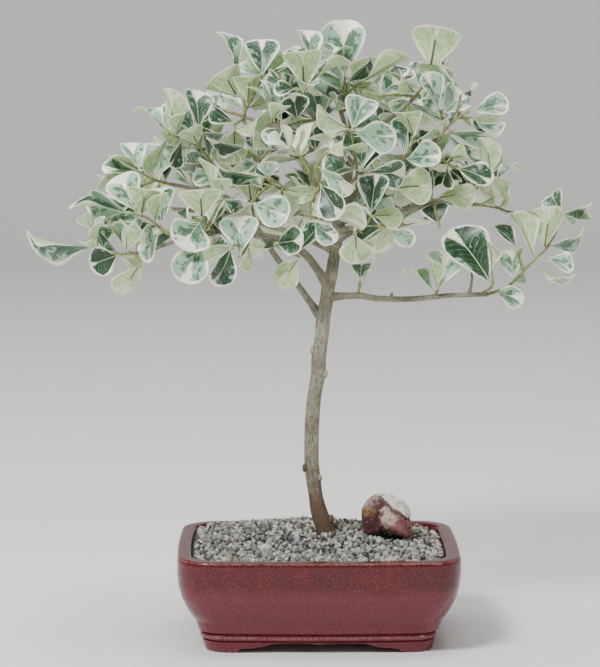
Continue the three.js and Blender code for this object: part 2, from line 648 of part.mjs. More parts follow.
function makePot() {
  let pot = loft(POT.outside.map(([z, inset]) => planRing(inset, z)));
  pot = pot.subtract(loft(POT.inside.map(([z, inset]) => planRing(inset, z))));
  const through = POT.length;
  const front = prism(archOutline(FOOT_ARCH_FRONT), -through, through).rotateX(Math.PI / 2);
  const ends = prism(archOutline(FOOT_ARCH_END), -through, through).rotateX(Math.PI / 2);
  pot = pot.subtract(solidOf(front)).subtract(solidOf(ends.rotateZ(Math.PI / 2)));
  const pastFloor = POT.inside[1][0];
  for (const side of [-1, 1])
    pot = pot.subtract(cylinder(POT.drainRadius, -1, pastFloor, side * POT.drainX, 0, POT.drainSides));
  return pot;
}

function boxSolid(lengths, centre) {
  return solidOf(new THREE.BoxGeometry(...lengths).translate(...centre));
}

function makeScreen(side) {
  const floor = POT.inside[0][0] + GAP;
  const middle = floor + SCREEN.thick / 2;
  let screen = boxSolid([SCREEN.side, SCREEN.side, SCREEN.thick], [side * POT.drainX, 0, middle]);
  for (const column of [-0.5, 0.5])
    for (const row of [-0.5, 0.5]) {
      const centre = [side * POT.drainX + column * SCREEN.pitch, row * SCREEN.pitch, middle];
      screen = screen.subtract(boxSolid([SCREEN.hole, SCREEN.hole, 4 * SCREEN.thick], centre));
    }
  return screen;
}

// Soil and grit
function makeSoil(stemSleeve) {
  const rings = POT.inside.filter(([z]) => z < SOIL_TOP).map(([z, inset]) => [z + GAP, inset + GAP]);
  const rim = POT.inside.find(([z]) => z > SOIL_TOP);
  rings.push([SOIL_TOP, rim[1] + GAP * 3]);
  let soil = loft(rings.map(([z, inset]) => planRing(inset, z)));
  for (const side of [-1, 1]) {
    const cover = SCREEN.side + 2 * GAP;
    const top = POT.inside[0][0] + 2 * GAP + SCREEN.thick;
    soil = soil.subtract(boxSolid([cover, cover, 2 * top], [side * POT.drainX, 0, 0]));
  }
  return soil.subtract(stemSleeve);
}

function moundHeight(x, y) {
  const spread = ((x - GRIT.peakX) / GRIT.spreadX) ** 2 + ((y - GRIT.peakY) / GRIT.spreadY) ** 2;
  const right = Math.min(Math.max((x - 60) / 50, 0), 1);
  return GRIT.level + GRIT.rise * Math.exp(-spread) - GRIT.dipRight * right;
}

function makeGrit(stemSleeve, stoneSleeve) {
  const random = randomFrom(GRIT.seed);
  const columns = Math.ceil(POT.length / GRIT.granule);
  const rows = Math.ceil(POT.depth / GRIT.granule);
  const floor = SOIL_TOP + GAP;
  const points = [];
  for (let r = 0; r <= rows; r++)
    for (let c = 0; c <= columns; c++) {
      const edge = r === 0 || c === 0 || r === rows || c === columns;
      const jitter = edge ? 0 : 0.7 * GRIT.granule;
      const x = (c - columns / 2) * GRIT.granule;
      const y = (r - rows / 2) * GRIT.granule;
      const lift = (random() - 0.5) * GRIT.relief + ((r + c) % 2 ? 0.6 : -0.6);
      const [dx, dy] = [(random() - 0.5) * jitter, (random() - 0.5) * jitter];
      points.push(new THREE.Vector3(x + dx, y + dy, moundHeight(x, y) + lift));
    }
  const width = columns + 1;
  const faces = [];
  for (let r = 0; r < rows; r++)
    for (let c = 0; c < columns; c++) {
      const a = r * width + c;
      const quad = [a, a + 1, a + width + 1, a + width];
      const [p, q, s, t] = (r + c) % 2 ? [quad[1], quad[2], quad[3], quad[0]] : quad;
      faces.push([p, q, s], [p, s, t]);
    }
  // Four floor corners, each wall a fan from its left one, and the floor itself.
  const under = points.length;
  const corners = [0, columns, rows * width + columns, rows * width];
  for (const i of corners) points.push(new THREE.Vector3(points[i].x, points[i].y, floor));
  const steps = [1, width, -1, -width];
  corners.forEach((from, side) => {
    const to = corners[(side + 1) % 4];
    const foot = under + side;
    for (let a = from; a !== to; a += steps[side]) faces.push([foot, a + steps[side], a]);
    faces.push([foot, under + ((side + 1) % 4), to]);
  });
  faces.push([under, under + 2, under + 1], [under, under + 3, under + 2]);
  const block = solidFromFaces(points, faces);
  const rings = POT.inside.filter(([z]) => z > SOIL_TOP).map(([z, inset]) => [z, inset + GAP]);
  const below = [SOIL_TOP - 1, rings[0][1] + GAP];
  const above = [POT.inside.at(-1)[0] + 3 * GRIT.rise, rings.at(-1)[1]];
  const bed = loft([below, ...rings, above].map(([z, inset]) => planRing(inset, z)));
  return block.intersect(bed).subtract(stemSleeve).subtract(stoneSleeve);
}

// The rock: an angular lump, notched underneath and ridged across its top.
function makeStone(grow = 0) {
  const geometry = new THREE.IcosahedronGeometry(1, STONE.detail);
  const place = geometry.getAttribute("position");
  for (let i = 0; i < place.count; i++) {
    const p = new THREE.Vector3().fromBufferAttribute(place, i).normalize();
    const lumps = 0.07 * Math.sin(3.1 * p.x + 4.3 * p.z + 1.2) + 0.06 * Math.sin(5.2 * p.y - 3.7 * p.x)
      + 0.05 * Math.sin(7.3 * p.z + 2.9 * p.y + 0.6);
    const block = Math.max(Math.abs(p.x), Math.abs(p.y), Math.abs(p.z)) ** -0.55;
    const notch = p.z < -0.2 ? 0.16 * Math.exp(-((p.x / 0.3) ** 2)) : 0;
    const slope = p.x < -0.3 && p.z > 0.3 ? 0.1 * (p.z - 0.3) : 0;
    p.multiplyScalar(block * (1 + lumps - notch - slope) * 0.98);
    place.setXYZ(
      i,
      STONE.x + p.x * (STONE.width / 2 + grow),
      STONE.y + p.y * (STONE.depth / 2 + grow),
      STONE.z + p.z * (STONE.height / 2 + grow),
    );
  }
  return solidOf(geometry);
}

// Trunk and branches
function branchPath(rows) {
  return rows.map(([px, py, depth, radius]) => ({ at: sight(px, py, depth), radius }));
}

function trunkPath() {
  const path = branchPath(TRUNK);
  const foot = path[0].at;
  const buried = [
    { at: new THREE.Vector3(foot.x + 6, foot.y, STEM_FOOT.z), radius: STEM_FOOT.radius - 2 },
    { at: new THREE.Vector3(foot.x + 5.6, foot.y, STEM_FOOT.z + 20), radius: STEM_FOOT.radius },
    { at: new THREE.Vector3(foot.x + 4.6, foot.y, foot.z - 12), radius: STEM_FOOT.radius + 0.3 },
  ];
  return [...buried, ...path];
}

// The trunk isn't quite round: shallow flutes turn slowly up the stem.
function barkRelief(angle, ring) {
  return 1 + 0.035 * Math.sin(3 * angle + ring * 0.9) + 0.02 * Math.sin(5 * angle - ring);
}

const PATHS = { trunk: trunkPath() };
for (const [name, rows] of Object.entries(BRANCHES)) PATHS[name] = branchPath(rows);

// The trunk or one branch by itself, grown all round by a clearance where it is to be cut out.
function limb(name, grow = 0) {
  const path = PATHS[name].slice();
  const tip = path[path.length - 1];
  const along = tip.at.clone().sub(path[path.length - 2].at).normalize();
  path[path.length - 1] = { ...tip, at: tip.at.clone().addScaledVector(along, grow) };
  return name === "trunk" ? tube(path, TRUNK_SIDES, grow, barkRelief) : tube(path, BRANCH_SIDES, grow);
}

function makeTrunk() {
  const parts = Object.keys(PATHS).map((name) => limb(name));
  for (const [px, py, depth, radius] of KNOBS) {
    const at = sight(px, py, depth);
    parts.push(solidOf(new THREE.IcosahedronGeometry(radius, 0).translate(at.x, at.y, at.z)));
  }
  return wasm.Manifold.union(parts);
}

// The space round the buried stem and the lower trunk that soil and grit leave free.
function stemSleeve() {
  const path = PATHS.trunk.slice(0, 5).map(({ at, radius }) => ({ at: at.clone(), radius }));
  path[0].at.z -= 2 * GAP;
  return tube(path, TRUNK_SIDES, GAP * 1.3, barkRelief);
}

// The point of a path that is seen nearest to a pixel, and how many pixels away it is.
function nearestOn(path, px, py) {
  let best = { distance: Infinity };
  for (let i = 0; i + 1 < path.length; i++) {
    const [ax, ay] = pixel(path[i].at);
    const [bx, by] = pixel(path[i + 1].at);
    const span = (bx - ax) ** 2 + (by - ay) ** 2;
    const along = ((px - ax) * (bx - ax) + (py - ay) * (by - ay)) / span;
    const t = Math.min(Math.max(along, 0), 1);
    const distance = Math.hypot(ax + (bx - ax) * t - px, ay + (by - ay) * t - py);
    if (distance < best.distance) {
      const at = path[i].at.clone().lerp(path[i + 1].at, t);
      best = { distance, at };
    }
  }
  return best;
}

function nearestOnAll(paths, px, py) {
  return paths.map((path) => nearestOn(path, px, py)).reduce((a, b) => (b.distance < a.distance ? b : a));
}

function twigPaths(spray) {
  const made = [];
  for (const rows of spray.twigs) {
    const root = nearestOnAll(made.length ? made : [PATHS[spray.on]], rows[0][0], rows[0][1]);
    const spots = [root.at, ...rows.slice(1).map(([px, py, depth]) => sight(px, py, depth))];
    const last = spots.length - 1;
    made.push(
      spots.map((at, i) => ({
        at,
        radius: TWIG_RADIUS.start + ((TWIG_RADIUS.end - TWIG_RADIUS.start) * i) / last,
      })),
    );
  }
  return made;
}

// A leaf's blade as seven points: root, shoulders, corners, notch and middle. The faces of the blade are
// a fan round the middle point.
const [ROOT, LEFT, RIGHT, LEFT_CORNER, RIGHT_CORNER, NOTCH, MIDDLE] = [0, 1, 2, 3, 4, 5, 6];
const BLADE_EDGE = [ROOT, LEFT, LEFT_CORNER, NOTCH, RIGHT_CORNER, RIGHT];
const BLADE_FACES = BLADE_EDGE.map((a, i) => [MIDDLE, a, BLADE_EDGE[(i + 1) % BLADE_EDGE.length]]);

function bladePoints(leaf) {
  const along = leaf.tip.clone().sub(leaf.foot);
  const length = along.length();
  along.normalize();
  const across = leaf.normal.clone().cross(along);
  const spot = (u, v) => {
    const rise = leaf.arch * 4 * u * (1 - u) + leaf.cup * (2 * v) ** 2 * u + leaf.twist * 2 * v * (u - 0.4);
    return leaf.foot
      .clone()
      .addScaledVector(along, u * length)
      .addScaledVector(across, v * leaf.width)
      .addScaledVector(leaf.normal, rise * length);
  };
  const cornerV = LEAF.cornerWidth / 2;
  return [
    leaf.root, spot(LEAF.shoulder, 0.5), spot(LEAF.shoulder, -0.5), spot(LEAF.corner, cornerV),
    spot(LEAF.corner, -cornerV), spot(LEAF.notch, 0), spot(LEAF.middle, 0),
  ];
}

function bladeSolid(leaf) {
  const middle = bladePoints(leaf);
  const half = LEAF.thick / 2;
  const top = middle.map((p) => p.clone().addScaledVector(leaf.normal, half));
  const bottom = middle.map((p) => p.clone().addScaledVector(leaf.normal, -half));
  const under = middle.length;
  const faces = [];
  for (const [a, b, c] of BLADE_FACES) faces.push([a, c, b], [a + under, b + under, c + under]);
  BLADE_EDGE.forEach((a, i) => {
    const b = BLADE_EDGE[(i + 1) % BLADE_EDGE.length];
    faces.push([a, b, b + under], [a, b + under, a + under]);
  });
  return solidFromFaces([...top, ...bottom], faces);
}

// What a leaf or a twig fills, as line segments and triangles to test against those of its neighbours.
function leafGuard(leaf) {
  const p = bladePoints(leaf);
  const triangles = BLADE_FACES.map((face) => face.map((i) => p[i]));
  const segments = BLADE_EDGE.map((a, i) => [p[a], p[BLADE_EDGE[(i + 1) % BLADE_EDGE.length]]]);
  const inner = BLADE_EDGE.map((q) => p[q].clone().lerp(p[MIDDLE], 0.5));
  const rim = segments.flatMap(([a, b]) => [0.33, 0.67].map((t) => a.clone().lerp(b, t)));
  const spikes = [...p.slice(1), ...inner, ...rim];
  for (const q of BLADE_EDGE) segments.push([p[MIDDLE], p[q]]);
  for (const q of spikes)
    segments.push([
      q.clone().addScaledVector(leaf.normal, LEAF_MARGIN),
      q.clone().addScaledVector(leaf.normal, -LEAF_MARGIN),
    ]);
  return guardOf(segments, triangles);
}

const GUARD_STEP = 4;

// A direction square to another, the same for the same input.
function squareTo(along) {
  return new THREE.Vector3(0.31, 0.52, 0.79).cross(along).normalize();
}

function twigGuard(path) {
  const segments = [];
  const triangles = [];
  for (let i = 0; i + 1 < path.length; i++) {
    const a = path[i];
    const b = path[i + 1];
    segments.push([a.at, b.at]);
    const along = b.at.clone().sub(a.at).normalize();
    const side = squareTo(along);
    for (const wide of [side, along.clone().cross(side)]) {
      const reach = Math.max(a.radius, b.radius) + LEAF_MARGIN / 2;
      const corners = [a, b].flatMap((end) => [
        end.at.clone().addScaledVector(wide, reach),
        end.at.clone().addScaledVector(wide, -reach),
      ]);
      triangles.push([corners[0], corners[1], corners[2]], [corners[1], corners[3], corners[2]]);
      const steps = Math.ceil(a.at.distanceTo(b.at) / GUARD_STEP);
      for (let s = 0; s <= steps; s++) {
        const one = corners[0].clone().lerp(corners[2], s / steps);
        segments.push([one, corners[1].clone().lerp(corners[3], s / steps)]);
      }
    }
  }
  return guardOf(segments, triangles);
}

function guardOf(segments, triangles) {
  const box = new THREE.Box3().setFromPoints(segments.flat());
  return { segments, triangles, box };
}

function crosses([from, to], [a, b, c]) {
  const ray = to.clone().sub(from);
  const edge1 = b.clone().sub(a);
  const edge2 = c.clone().sub(a);
  const h = ray.clone().cross(edge2);
  const det = edge1.dot(h);
  if (Math.abs(det) < 1e-9) return false;
  const s = from.clone().sub(a);
  const u = s.dot(h) / det;
  if (u < 0 || u > 1) return false;
  const q = s.cross(edge1);
  const v = ray.dot(q) / det;
  if (v < 0 || u + v > 1) return false;
  const t = edge2.dot(q) / det;
  return t >= 0 && t <= 1;
}

function clash(one, other) {
  if (!one.box.intersectsBox(other.box)) return false;
  const hit = (segments, triangles) => segments.some((s) => triangles.some((t) => crosses(s, t)));
  return hit(one.segments, other.triangles) || hit(other.segments, one.triangles);
}

// How a leaf's blade lies, for a chord from foot to tip and a width that the eye sees.
function poseBlade(root, foot, tip, width, rollSign, face, random) {
  const chord = tip.clone().sub(foot);
  const length = chord.length();
  const along = chord.normalize();
  const view = eye.clone().sub(foot).normalize();
  const square = view.addScaledVector(along, -view.dot(along)).normalize();
  const across = along.clone().cross(square);
  const full = Math.max(width, width + 0.6 * (LEAF.fullRatio * length - width));
  const roll = Math.acos(Math.min(1, Math.max(width / full, 0.25)));
  const visible = square.multiplyScalar(Math.cos(roll)).addScaledVector(across, rollSign * Math.sin(roll));
  return {
    root,
    foot,
    tip,
    width: full,
    normal: visible.multiplyScalar(face),
    arch: pick(LEAF.arch, random),
    cup: pick(LEAF.cup, random),
    twist: pick(LEAF.twist, random),
  };
}

// The twigs of a spray without the bare start of the first, where it sits against its branch.
function leafyPaths(paths) {
  const [first, ...others] = paths;
  const [from, to] = [first[0].at, first[1].at];
  const start = from.clone().lerp(to, Math.min(BARE_START / from.distanceTo(to), 0.9));
  return [[{ ...first[0], at: start }, ...first.slice(1)], ...others];
}

// A leaf that was read off the picture. How much shorter it looks than a full one says how far its tip
// lies before or behind its foot.
function readLeaf(row, paths, random, attempt) {
  const [footX, footY, tipX, tipY, wide, face] = row;
  const { at: root } = nearestOnAll(paths, footX, footY);
  let foot = sight(footX, footY, root.y);
  const flatTip = sight(tipX, tipY, root.y);
  const shown = flatTip.distanceTo(foot);
  const scale = shown / Math.hypot(tipX - footX, tipY - footY);
  const length = shown + 0.5 * Math.max(0, LEAF.fullLength - shown) * (0.6 + 0.4 * random());
  const lean = Math.sqrt(length ** 2 - shown ** 2) + 0.12 * length;
  const rising = footY - tipY > 8 ? 1 : footY - tipY < -8 ? -1 : random() < 0.5 ? 1 : -1;
  const sway = random();
  const first = face * rising * lean;
  const bend = LEAF_TRIES[attempt >> 1];
  const depth = Math.abs(bend) < 5 ? first * (1 + bend) : first + bend;
  const tip = sight(tipX, tipY, root.y + depth);
  if (foot.distanceTo(root) < LEAF.stalkLength)
    foot = root.clone().addScaledVector(tip.clone().sub(root).normalize(), LEAF.stalkLength);
  const rollSign = (sway < 0.5 ? 1 : -1) * (attempt % 2 ? -1 : 1);
  return poseBlade(root, foot, tip, wide * scale, rollSign, face, random);
}

// A leaf set on a twig by rule: turned on by the golden angle, its upper face towards the light.
function ruleLeaf(paths, place, total, random, attempt) {
  const path = paths[place % paths.length];
  const t = 0.3 + (0.7 * (place + 0.5)) / total;
  const reach = t * (path.length - 1);
  const i = Math.min(Math.floor(reach), path.length - 2);
  const root = path[i].at.clone().lerp(path[i + 1].at, Math.min(reach - i, 0.98));
  const along = path[i + 1].at.clone().sub(path[i].at).normalize();
  const side = squareTo(along);
  const across = along.clone().cross(side);
  const angle = (place + attempt * RULE_LEAF.turn) * RULE_LEAF.goldenAngle + random() * 0.8;
  const out = side.multiplyScalar(Math.cos(angle)).addScaledVector(across, Math.sin(angle));
  const heading = out.addScaledVector(along, pick(RULE_LEAF.forward, random));
  heading.z += pick(RULE_LEAF.rise, random);
  heading.normalize();
  const length = pick(RULE_LEAF.length, random);
  const foot = root.clone().addScaledVector(heading, RULE_LEAF.stalk);
  const tip = foot.clone().addScaledVector(heading, length);
  const tiltX = (random() - 0.5) * RULE_LEAF.tilt;
  const tiltY = (random() - 0.5) * RULE_LEAF.tilt;
  const light = new THREE.Vector3(tiltX, tiltY, 1);
  const normal = light.addScaledVector(heading, -light.dot(heading)).normalize();
  return {
    root,
    foot,
    tip,
    width: length * pick(RULE_LEAF.ratio, random),
    normal,
    arch: pick(LEAF.arch, random),
    cup: pick(LEAF.cup, random),
    twist: pick(LEAF.twist, random),
  };
}

function insideCanopy(leaf) {
  const points = bladePoints(leaf);
  return [LEFT, RIGHT, LEFT_CORNER, RIGHT_CORNER].every((i) => {
    const [x, y] = pixel(points[i]);
    let inside = false;
    for (let a = 0, b = CANOPY.length - 1; a < CANOPY.length; b = a++) {
      const [ax, ay] = CANOPY[a];
      const [bx, by] = CANOPY[b];
      if (ay > y !== by > y && x < ((bx - ax) * (y - ay)) / (by - ay) + ax) inside = !inside;
    }
    return inside;
  });
}

// Grows every leaf, one spray after the other, so that no blade crosses a piece of another spray.
// A crossing with its own spray is taken only where nothing better is found, and a leaf that finds no room
// at all stays out.
function growLeaves() {
  const wood = Object.values(PATHS).map((path) => twigGuard(path));
  const grown = SPRAYS.map((spray) => {
    const paths = twigPaths(spray);
    return { spray, paths, leafy: leafyPaths(paths), twigs: paths.map(twigGuard), leaves: [], guards: [] };
  });
  const firstFree = (self, tries, make, fits) => {
    let spare = null;
    for (let attempt = 0; attempt < tries; attempt++) {
      const leaf = make(attempt);
      if (!fits(leaf)) continue;
      const guard = leafGuard(leaf);
      if (wood.some((g) => clash(guard, g))) continue;
      const others = grown.filter((g) => g !== self).flatMap((g) => [...g.twigs, ...g.guards]);
      if (others.some((g) => clash(guard, g))) continue;
      if (!self.guards.some((g) => clash(guard, g))) return { leaf, guard };
      if (!spare) spare = { leaf, guard };
    }
    return spare;
  };
  const keep = (self, found) => {
    if (!found) return;
    self.leaves.push(found.leaf);
    self.guards.push(found.guard);
  };
  for (const self of grown)
    self.spray.leaves.forEach((row, i) => {
      const seed = self.spray.seed * 100 + i;
      const make = (attempt) => readLeaf(row, self.leafy, randomFrom(seed), attempt);
      keep(self, firstFree(self, 2 * LEAF_TRIES.length, make, () => true));
    });
  for (const self of grown)
    for (let place = 0; place < (self.spray.fill ?? 0); place++) {
      const { paths, spray } = self;
      const seed = spray.seed * 100 + 50 + place;
      const make = (attempt) => ruleLeaf(paths, place, spray.fill, randomFrom(seed + attempt * 7), attempt);
      keep(self, firstFree(self, RULE_LEAF.tries, make, insideCanopy));
    }
  return grown;
}

function makeSpray(grown) {
  const parts = [...grown.paths.map((path) => tube(path, TWIG_SIDES)), ...grown.leaves.map(bladeSolid)];
  return wasm.Manifold.union(parts).subtract(limb(grown.spray.on, GAP));
}

// Assembly
const tree = new THREE.Group();
const sleeve = stemSleeve();
tree.add(meshOf(makePot(), "pot", COLOURS.glaze, 0.25));
tree.add(meshOf(makeScreen(-1), "drain_screen_left", COLOURS.screen, 0.6));
tree.add(meshOf(makeScreen(1), "drain_screen_right", COLOURS.screen, 0.6));
tree.add(meshOf(makeSoil(sleeve), "soil", COLOURS.soil, 0.95));
tree.add(meshOf(makeGrit(sleeve, makeStone(GAP)), "grit", COLOURS.grit, 0.95));
tree.add(meshOf(makeStone(), "stone", COLOURS.stone, 0.85));
tree.add(meshOf(makeTrunk(), "trunk", COLOURS.bark, 0.8));
for (const grown of growLeaves()) {
  const colour = grown.spray.young ? COLOURS.youngLeaf : COLOURS.leaf;
  tree.add(meshOf(makeSpray(grown), grown.spray.name, colour, 0.35));
}

// The origin goes under the middle of the whole tree.
const box = new THREE.Box3().setFromObject(tree);
tree.position.set(-(box.min.x + box.max.x) / 2, -(box.min.y + box.max.y) / 2, -box.min.z);

export default tree;
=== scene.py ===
"""A small fig tree with variegated triangular leaves, in a glazed rectangular pot with cloud feet.

Everything is drawn in millimetres, with the pot standing on z = 0 and its middle at x = y = 0. Each mesh is
moved to its place in the frame, and turned to metres, as it is made.
"""

import logging
import math
from dataclasses import dataclass, field
from enum import Enum
from functools import cached_property
from typing import Callable, Optional, Sequence, Union

import bmesh
import bpy
import numpy as np
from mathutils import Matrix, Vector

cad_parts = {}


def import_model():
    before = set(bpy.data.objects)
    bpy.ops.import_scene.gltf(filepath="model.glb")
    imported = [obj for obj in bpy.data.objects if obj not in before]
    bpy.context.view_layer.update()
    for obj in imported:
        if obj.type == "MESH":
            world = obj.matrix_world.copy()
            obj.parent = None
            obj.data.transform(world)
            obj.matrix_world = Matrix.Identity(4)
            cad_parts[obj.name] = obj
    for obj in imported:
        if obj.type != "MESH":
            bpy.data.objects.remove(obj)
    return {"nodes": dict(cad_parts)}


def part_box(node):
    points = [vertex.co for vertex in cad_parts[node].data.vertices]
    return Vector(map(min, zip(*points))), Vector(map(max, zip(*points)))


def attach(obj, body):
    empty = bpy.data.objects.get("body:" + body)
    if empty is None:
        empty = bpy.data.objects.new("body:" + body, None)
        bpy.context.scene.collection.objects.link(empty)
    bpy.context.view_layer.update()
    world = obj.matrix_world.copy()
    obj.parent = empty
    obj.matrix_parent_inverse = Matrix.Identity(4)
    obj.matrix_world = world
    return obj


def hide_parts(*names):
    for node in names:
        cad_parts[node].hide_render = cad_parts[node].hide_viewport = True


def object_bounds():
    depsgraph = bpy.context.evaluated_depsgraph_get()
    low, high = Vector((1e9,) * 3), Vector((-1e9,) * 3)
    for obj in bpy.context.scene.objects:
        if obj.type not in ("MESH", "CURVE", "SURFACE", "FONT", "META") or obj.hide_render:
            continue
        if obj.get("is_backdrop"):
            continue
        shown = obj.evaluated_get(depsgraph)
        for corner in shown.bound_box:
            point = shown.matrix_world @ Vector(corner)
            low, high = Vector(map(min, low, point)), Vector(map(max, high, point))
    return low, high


Point = np.ndarray
StemRow = tuple[float, float, float, float]
LeafRow = tuple[float, float, float, float, float, "Face"]
log = logging.getLogger("fig")

MM = 0.001
BOX_CLEARANCE = 0.2


class Face(Enum):
    """The face of a leaf that is turned to the eye."""

    UPPER = 1
    UNDER = -1


UPPER = Face.UPPER
UNDER = Face.UNDER


@dataclass(frozen=True)
class SprayPlan:
    """A leafy spray: the branch that carries it, its twigs, and its leaves.

    A twig is a list of pixel x, pixel y and depth. Its first point has no depth, because it lies on the
    branch or on an earlier twig of the spray. A leaf is pixel x and y of its foot, pixel x and y of its
    tip, the width that it shows in pixels, and the face that it turns to the eye. `fill` leaves are placed
    by rule.
    """

    name: str
    on: str
    seed: int
    twigs: list[list[tuple]]
    leaves: list[LeafRow] = field(default_factory=list)
    fill: int = 0
    young: bool = False


def back_spray(place: str, on: str, seed: int, fill: int, twig: list[tuple]) -> SprayPlan:
    """A spray at the back of the crown, whose leaves are placed by rule.

    Args:
        place: where it is, the last part of its name.
        on: the branch that carries it.
        seed: where its random draws start.
        fill: how many leaves it has.
        twig: its one twig.

    Returns:
        The plan of the spray.
    """
    return SprayPlan("spray_back_" + place, on, seed, [twig], fill=fill)


# The tree as the eye sees it. Each point is given by its pixel and by its depth, the y in millimetres at
# which the line of sight through that pixel meets it.

# Pixel x, pixel y, depth and radius of the trunk, from the grit up to the leader's tip.
TRUNK: list[StemRow] = [
    (320.4, 516, 20, 7.9), (317.5, 505.6, 21, 7.2), (315.5, 494.7, 22, 6.5), (313.4, 478.5, 23, 6.8),
    (311.6, 462, 23, 6.7), (311.5, 446, 22, 6.7), (312, 424, 20, 6.7), (313, 408, 18, 6.6),
    (315, 391.7, 15, 6.4), (318, 375, 12, 6.7), (318.8, 358, 9, 6.7), (321.6, 337, 6, 6.4),
    (323.3, 318, 4, 6.5), (326.2, 302, 4, 6.3), (328.6, 286, 5, 6.1), (331.5, 274, 6, 5.6),
    (333.8, 259, 8, 5.4), (336.4, 245, 9, 4.9), (340, 225, 10, 4.5), (344, 205, 12, 4.1),
    (348, 185, 14, 3.6), (350, 165, 15, 3.0), (351, 145, 16, 2.4), (350, 128, 16, 1.9),
]

# Old pruning knobs on the trunk.
KNOBS: list[StemRow] = [
    (305, 467.5, 20, 3), (320, 478, 18, 2.6), (312.4, 350.5, 6, 2.7), (325.4, 374, 8, 2.7),
    (325, 323, -1, 2), (331, 519, 17, 3.4),
]

# Branches that are one piece with the trunk.
BRANCHES: dict[str, list[StemRow]] = {
    "low_left": [
        (326, 282, 5, 3.8), (305, 254, -8, 3.5), (282, 240, -22, 3.1), (250, 234, -34, 2.8),
        (215, 232, -38, 2.4), (180, 240, -32, 2.0), (150, 250, -28, 1.7),
    ],
    "second_left": [
        (320, 316, 5, 3.3), (295.5, 282, 14, 3.0), (276, 257, 26, 2.7), (255, 225, 36, 2.4),
        (232, 200, 40, 2.1), (200, 190, 38, 1.8), (170, 184, 34, 1.6),
    ],
    "upper_left": [
        (343, 213, 11, 3.3), (315, 200, -6, 3.0), (285, 190, -12, 2.6), (262, 170, -8, 2.3),
        (250, 145, 0, 2.0), (244, 118, 4, 1.7),
    ],
    "crown_left": [(351, 150, 16, 2.4), (335, 135, 0, 2.2), (315, 118, -18, 2.0), (302, 102, -26, 1.7)],
    "right_low": [
        (328, 297, 4, 3.4), (358, 295.6, -4, 3.0), (376, 298.4, -8, 2.8), (410, 299, -12, 2.6),
        (449, 295.6, -14, 2.3), (488, 294.2, -14, 2.0),
    ],
    "right_mid": [
        (338, 238, 9, 3.2), (360, 228, -4, 2.8), (390, 216, -10, 2.5), (420, 207, -8, 2.2),
        (450, 203, -4, 1.9), (472, 204, 0, 1.7),
    ],
    "upper_right": [
        (345, 203, 12, 3.2), (368, 185, 0, 2.8), (395, 165, -8, 2.5), (420, 150, -12, 2.2),
        (440, 138, -12, 1.9),
    ],
    "top_right": [(350.5, 142, 16, 2.3), (375, 128, 4, 2.2), (398, 112, -4, 2.0), (415, 97, -8, 1.8)],
    "front_centre": [(342, 222, 10, 2.8), (337, 215, -20, 2.5), (330, 205, -50, 2.2), (322, 192, -75, 1.9)],
    "front_right": [(341, 230, 9, 2.8), (352, 228, -30, 2.4), (366, 228, -60, 2.0)],
    "back_left": [
        (335, 252, 8, 3.2), (300, 236, 50, 2.7), (255, 222, 85, 2.3), (205, 212, 105, 1.9),
        (165, 208, 110, 1.6),
    ],
    "back_right": [(339, 232, 9, 3.0), (372, 222, 50, 2.6), (412, 208, 85, 2.2), (455, 196, 105, 1.8)],
    "back_low": [(336, 246, 8, 3.0), (338, 232, 60, 2.6), (335, 222, 105, 2.2), (345, 212, 145, 1.8)],
    "back_high": [(346, 192, 14, 3.0), (345, 170, 60, 2.6), (338, 150, 105, 2.2), (330, 135, 140, 1.8)],
    "back_upper_left": [(348, 178, 14, 2.8), (318, 155, 45, 2.4), (280, 130, 75, 2.0), (240, 115, 90, 1.7)],
    "back_upper_right": [(349, 165, 14, 2.8), (380, 140, 45, 2.4), (415, 122, 75, 2.0), (450, 118, 90, 1.7)],
    "back_top": [(350, 150, 14, 2.3), (342, 115, 45, 2.1), (330, 85, 62, 1.8)],
    "bare_shoot": [(469, 295, -14, 1.3), (472, 278, -18, 1.1), (470, 266, -20, 0.9)],
    "thorn": [(391, 299, -10, 1.3), (392, 293, -12, 0.9)],
}

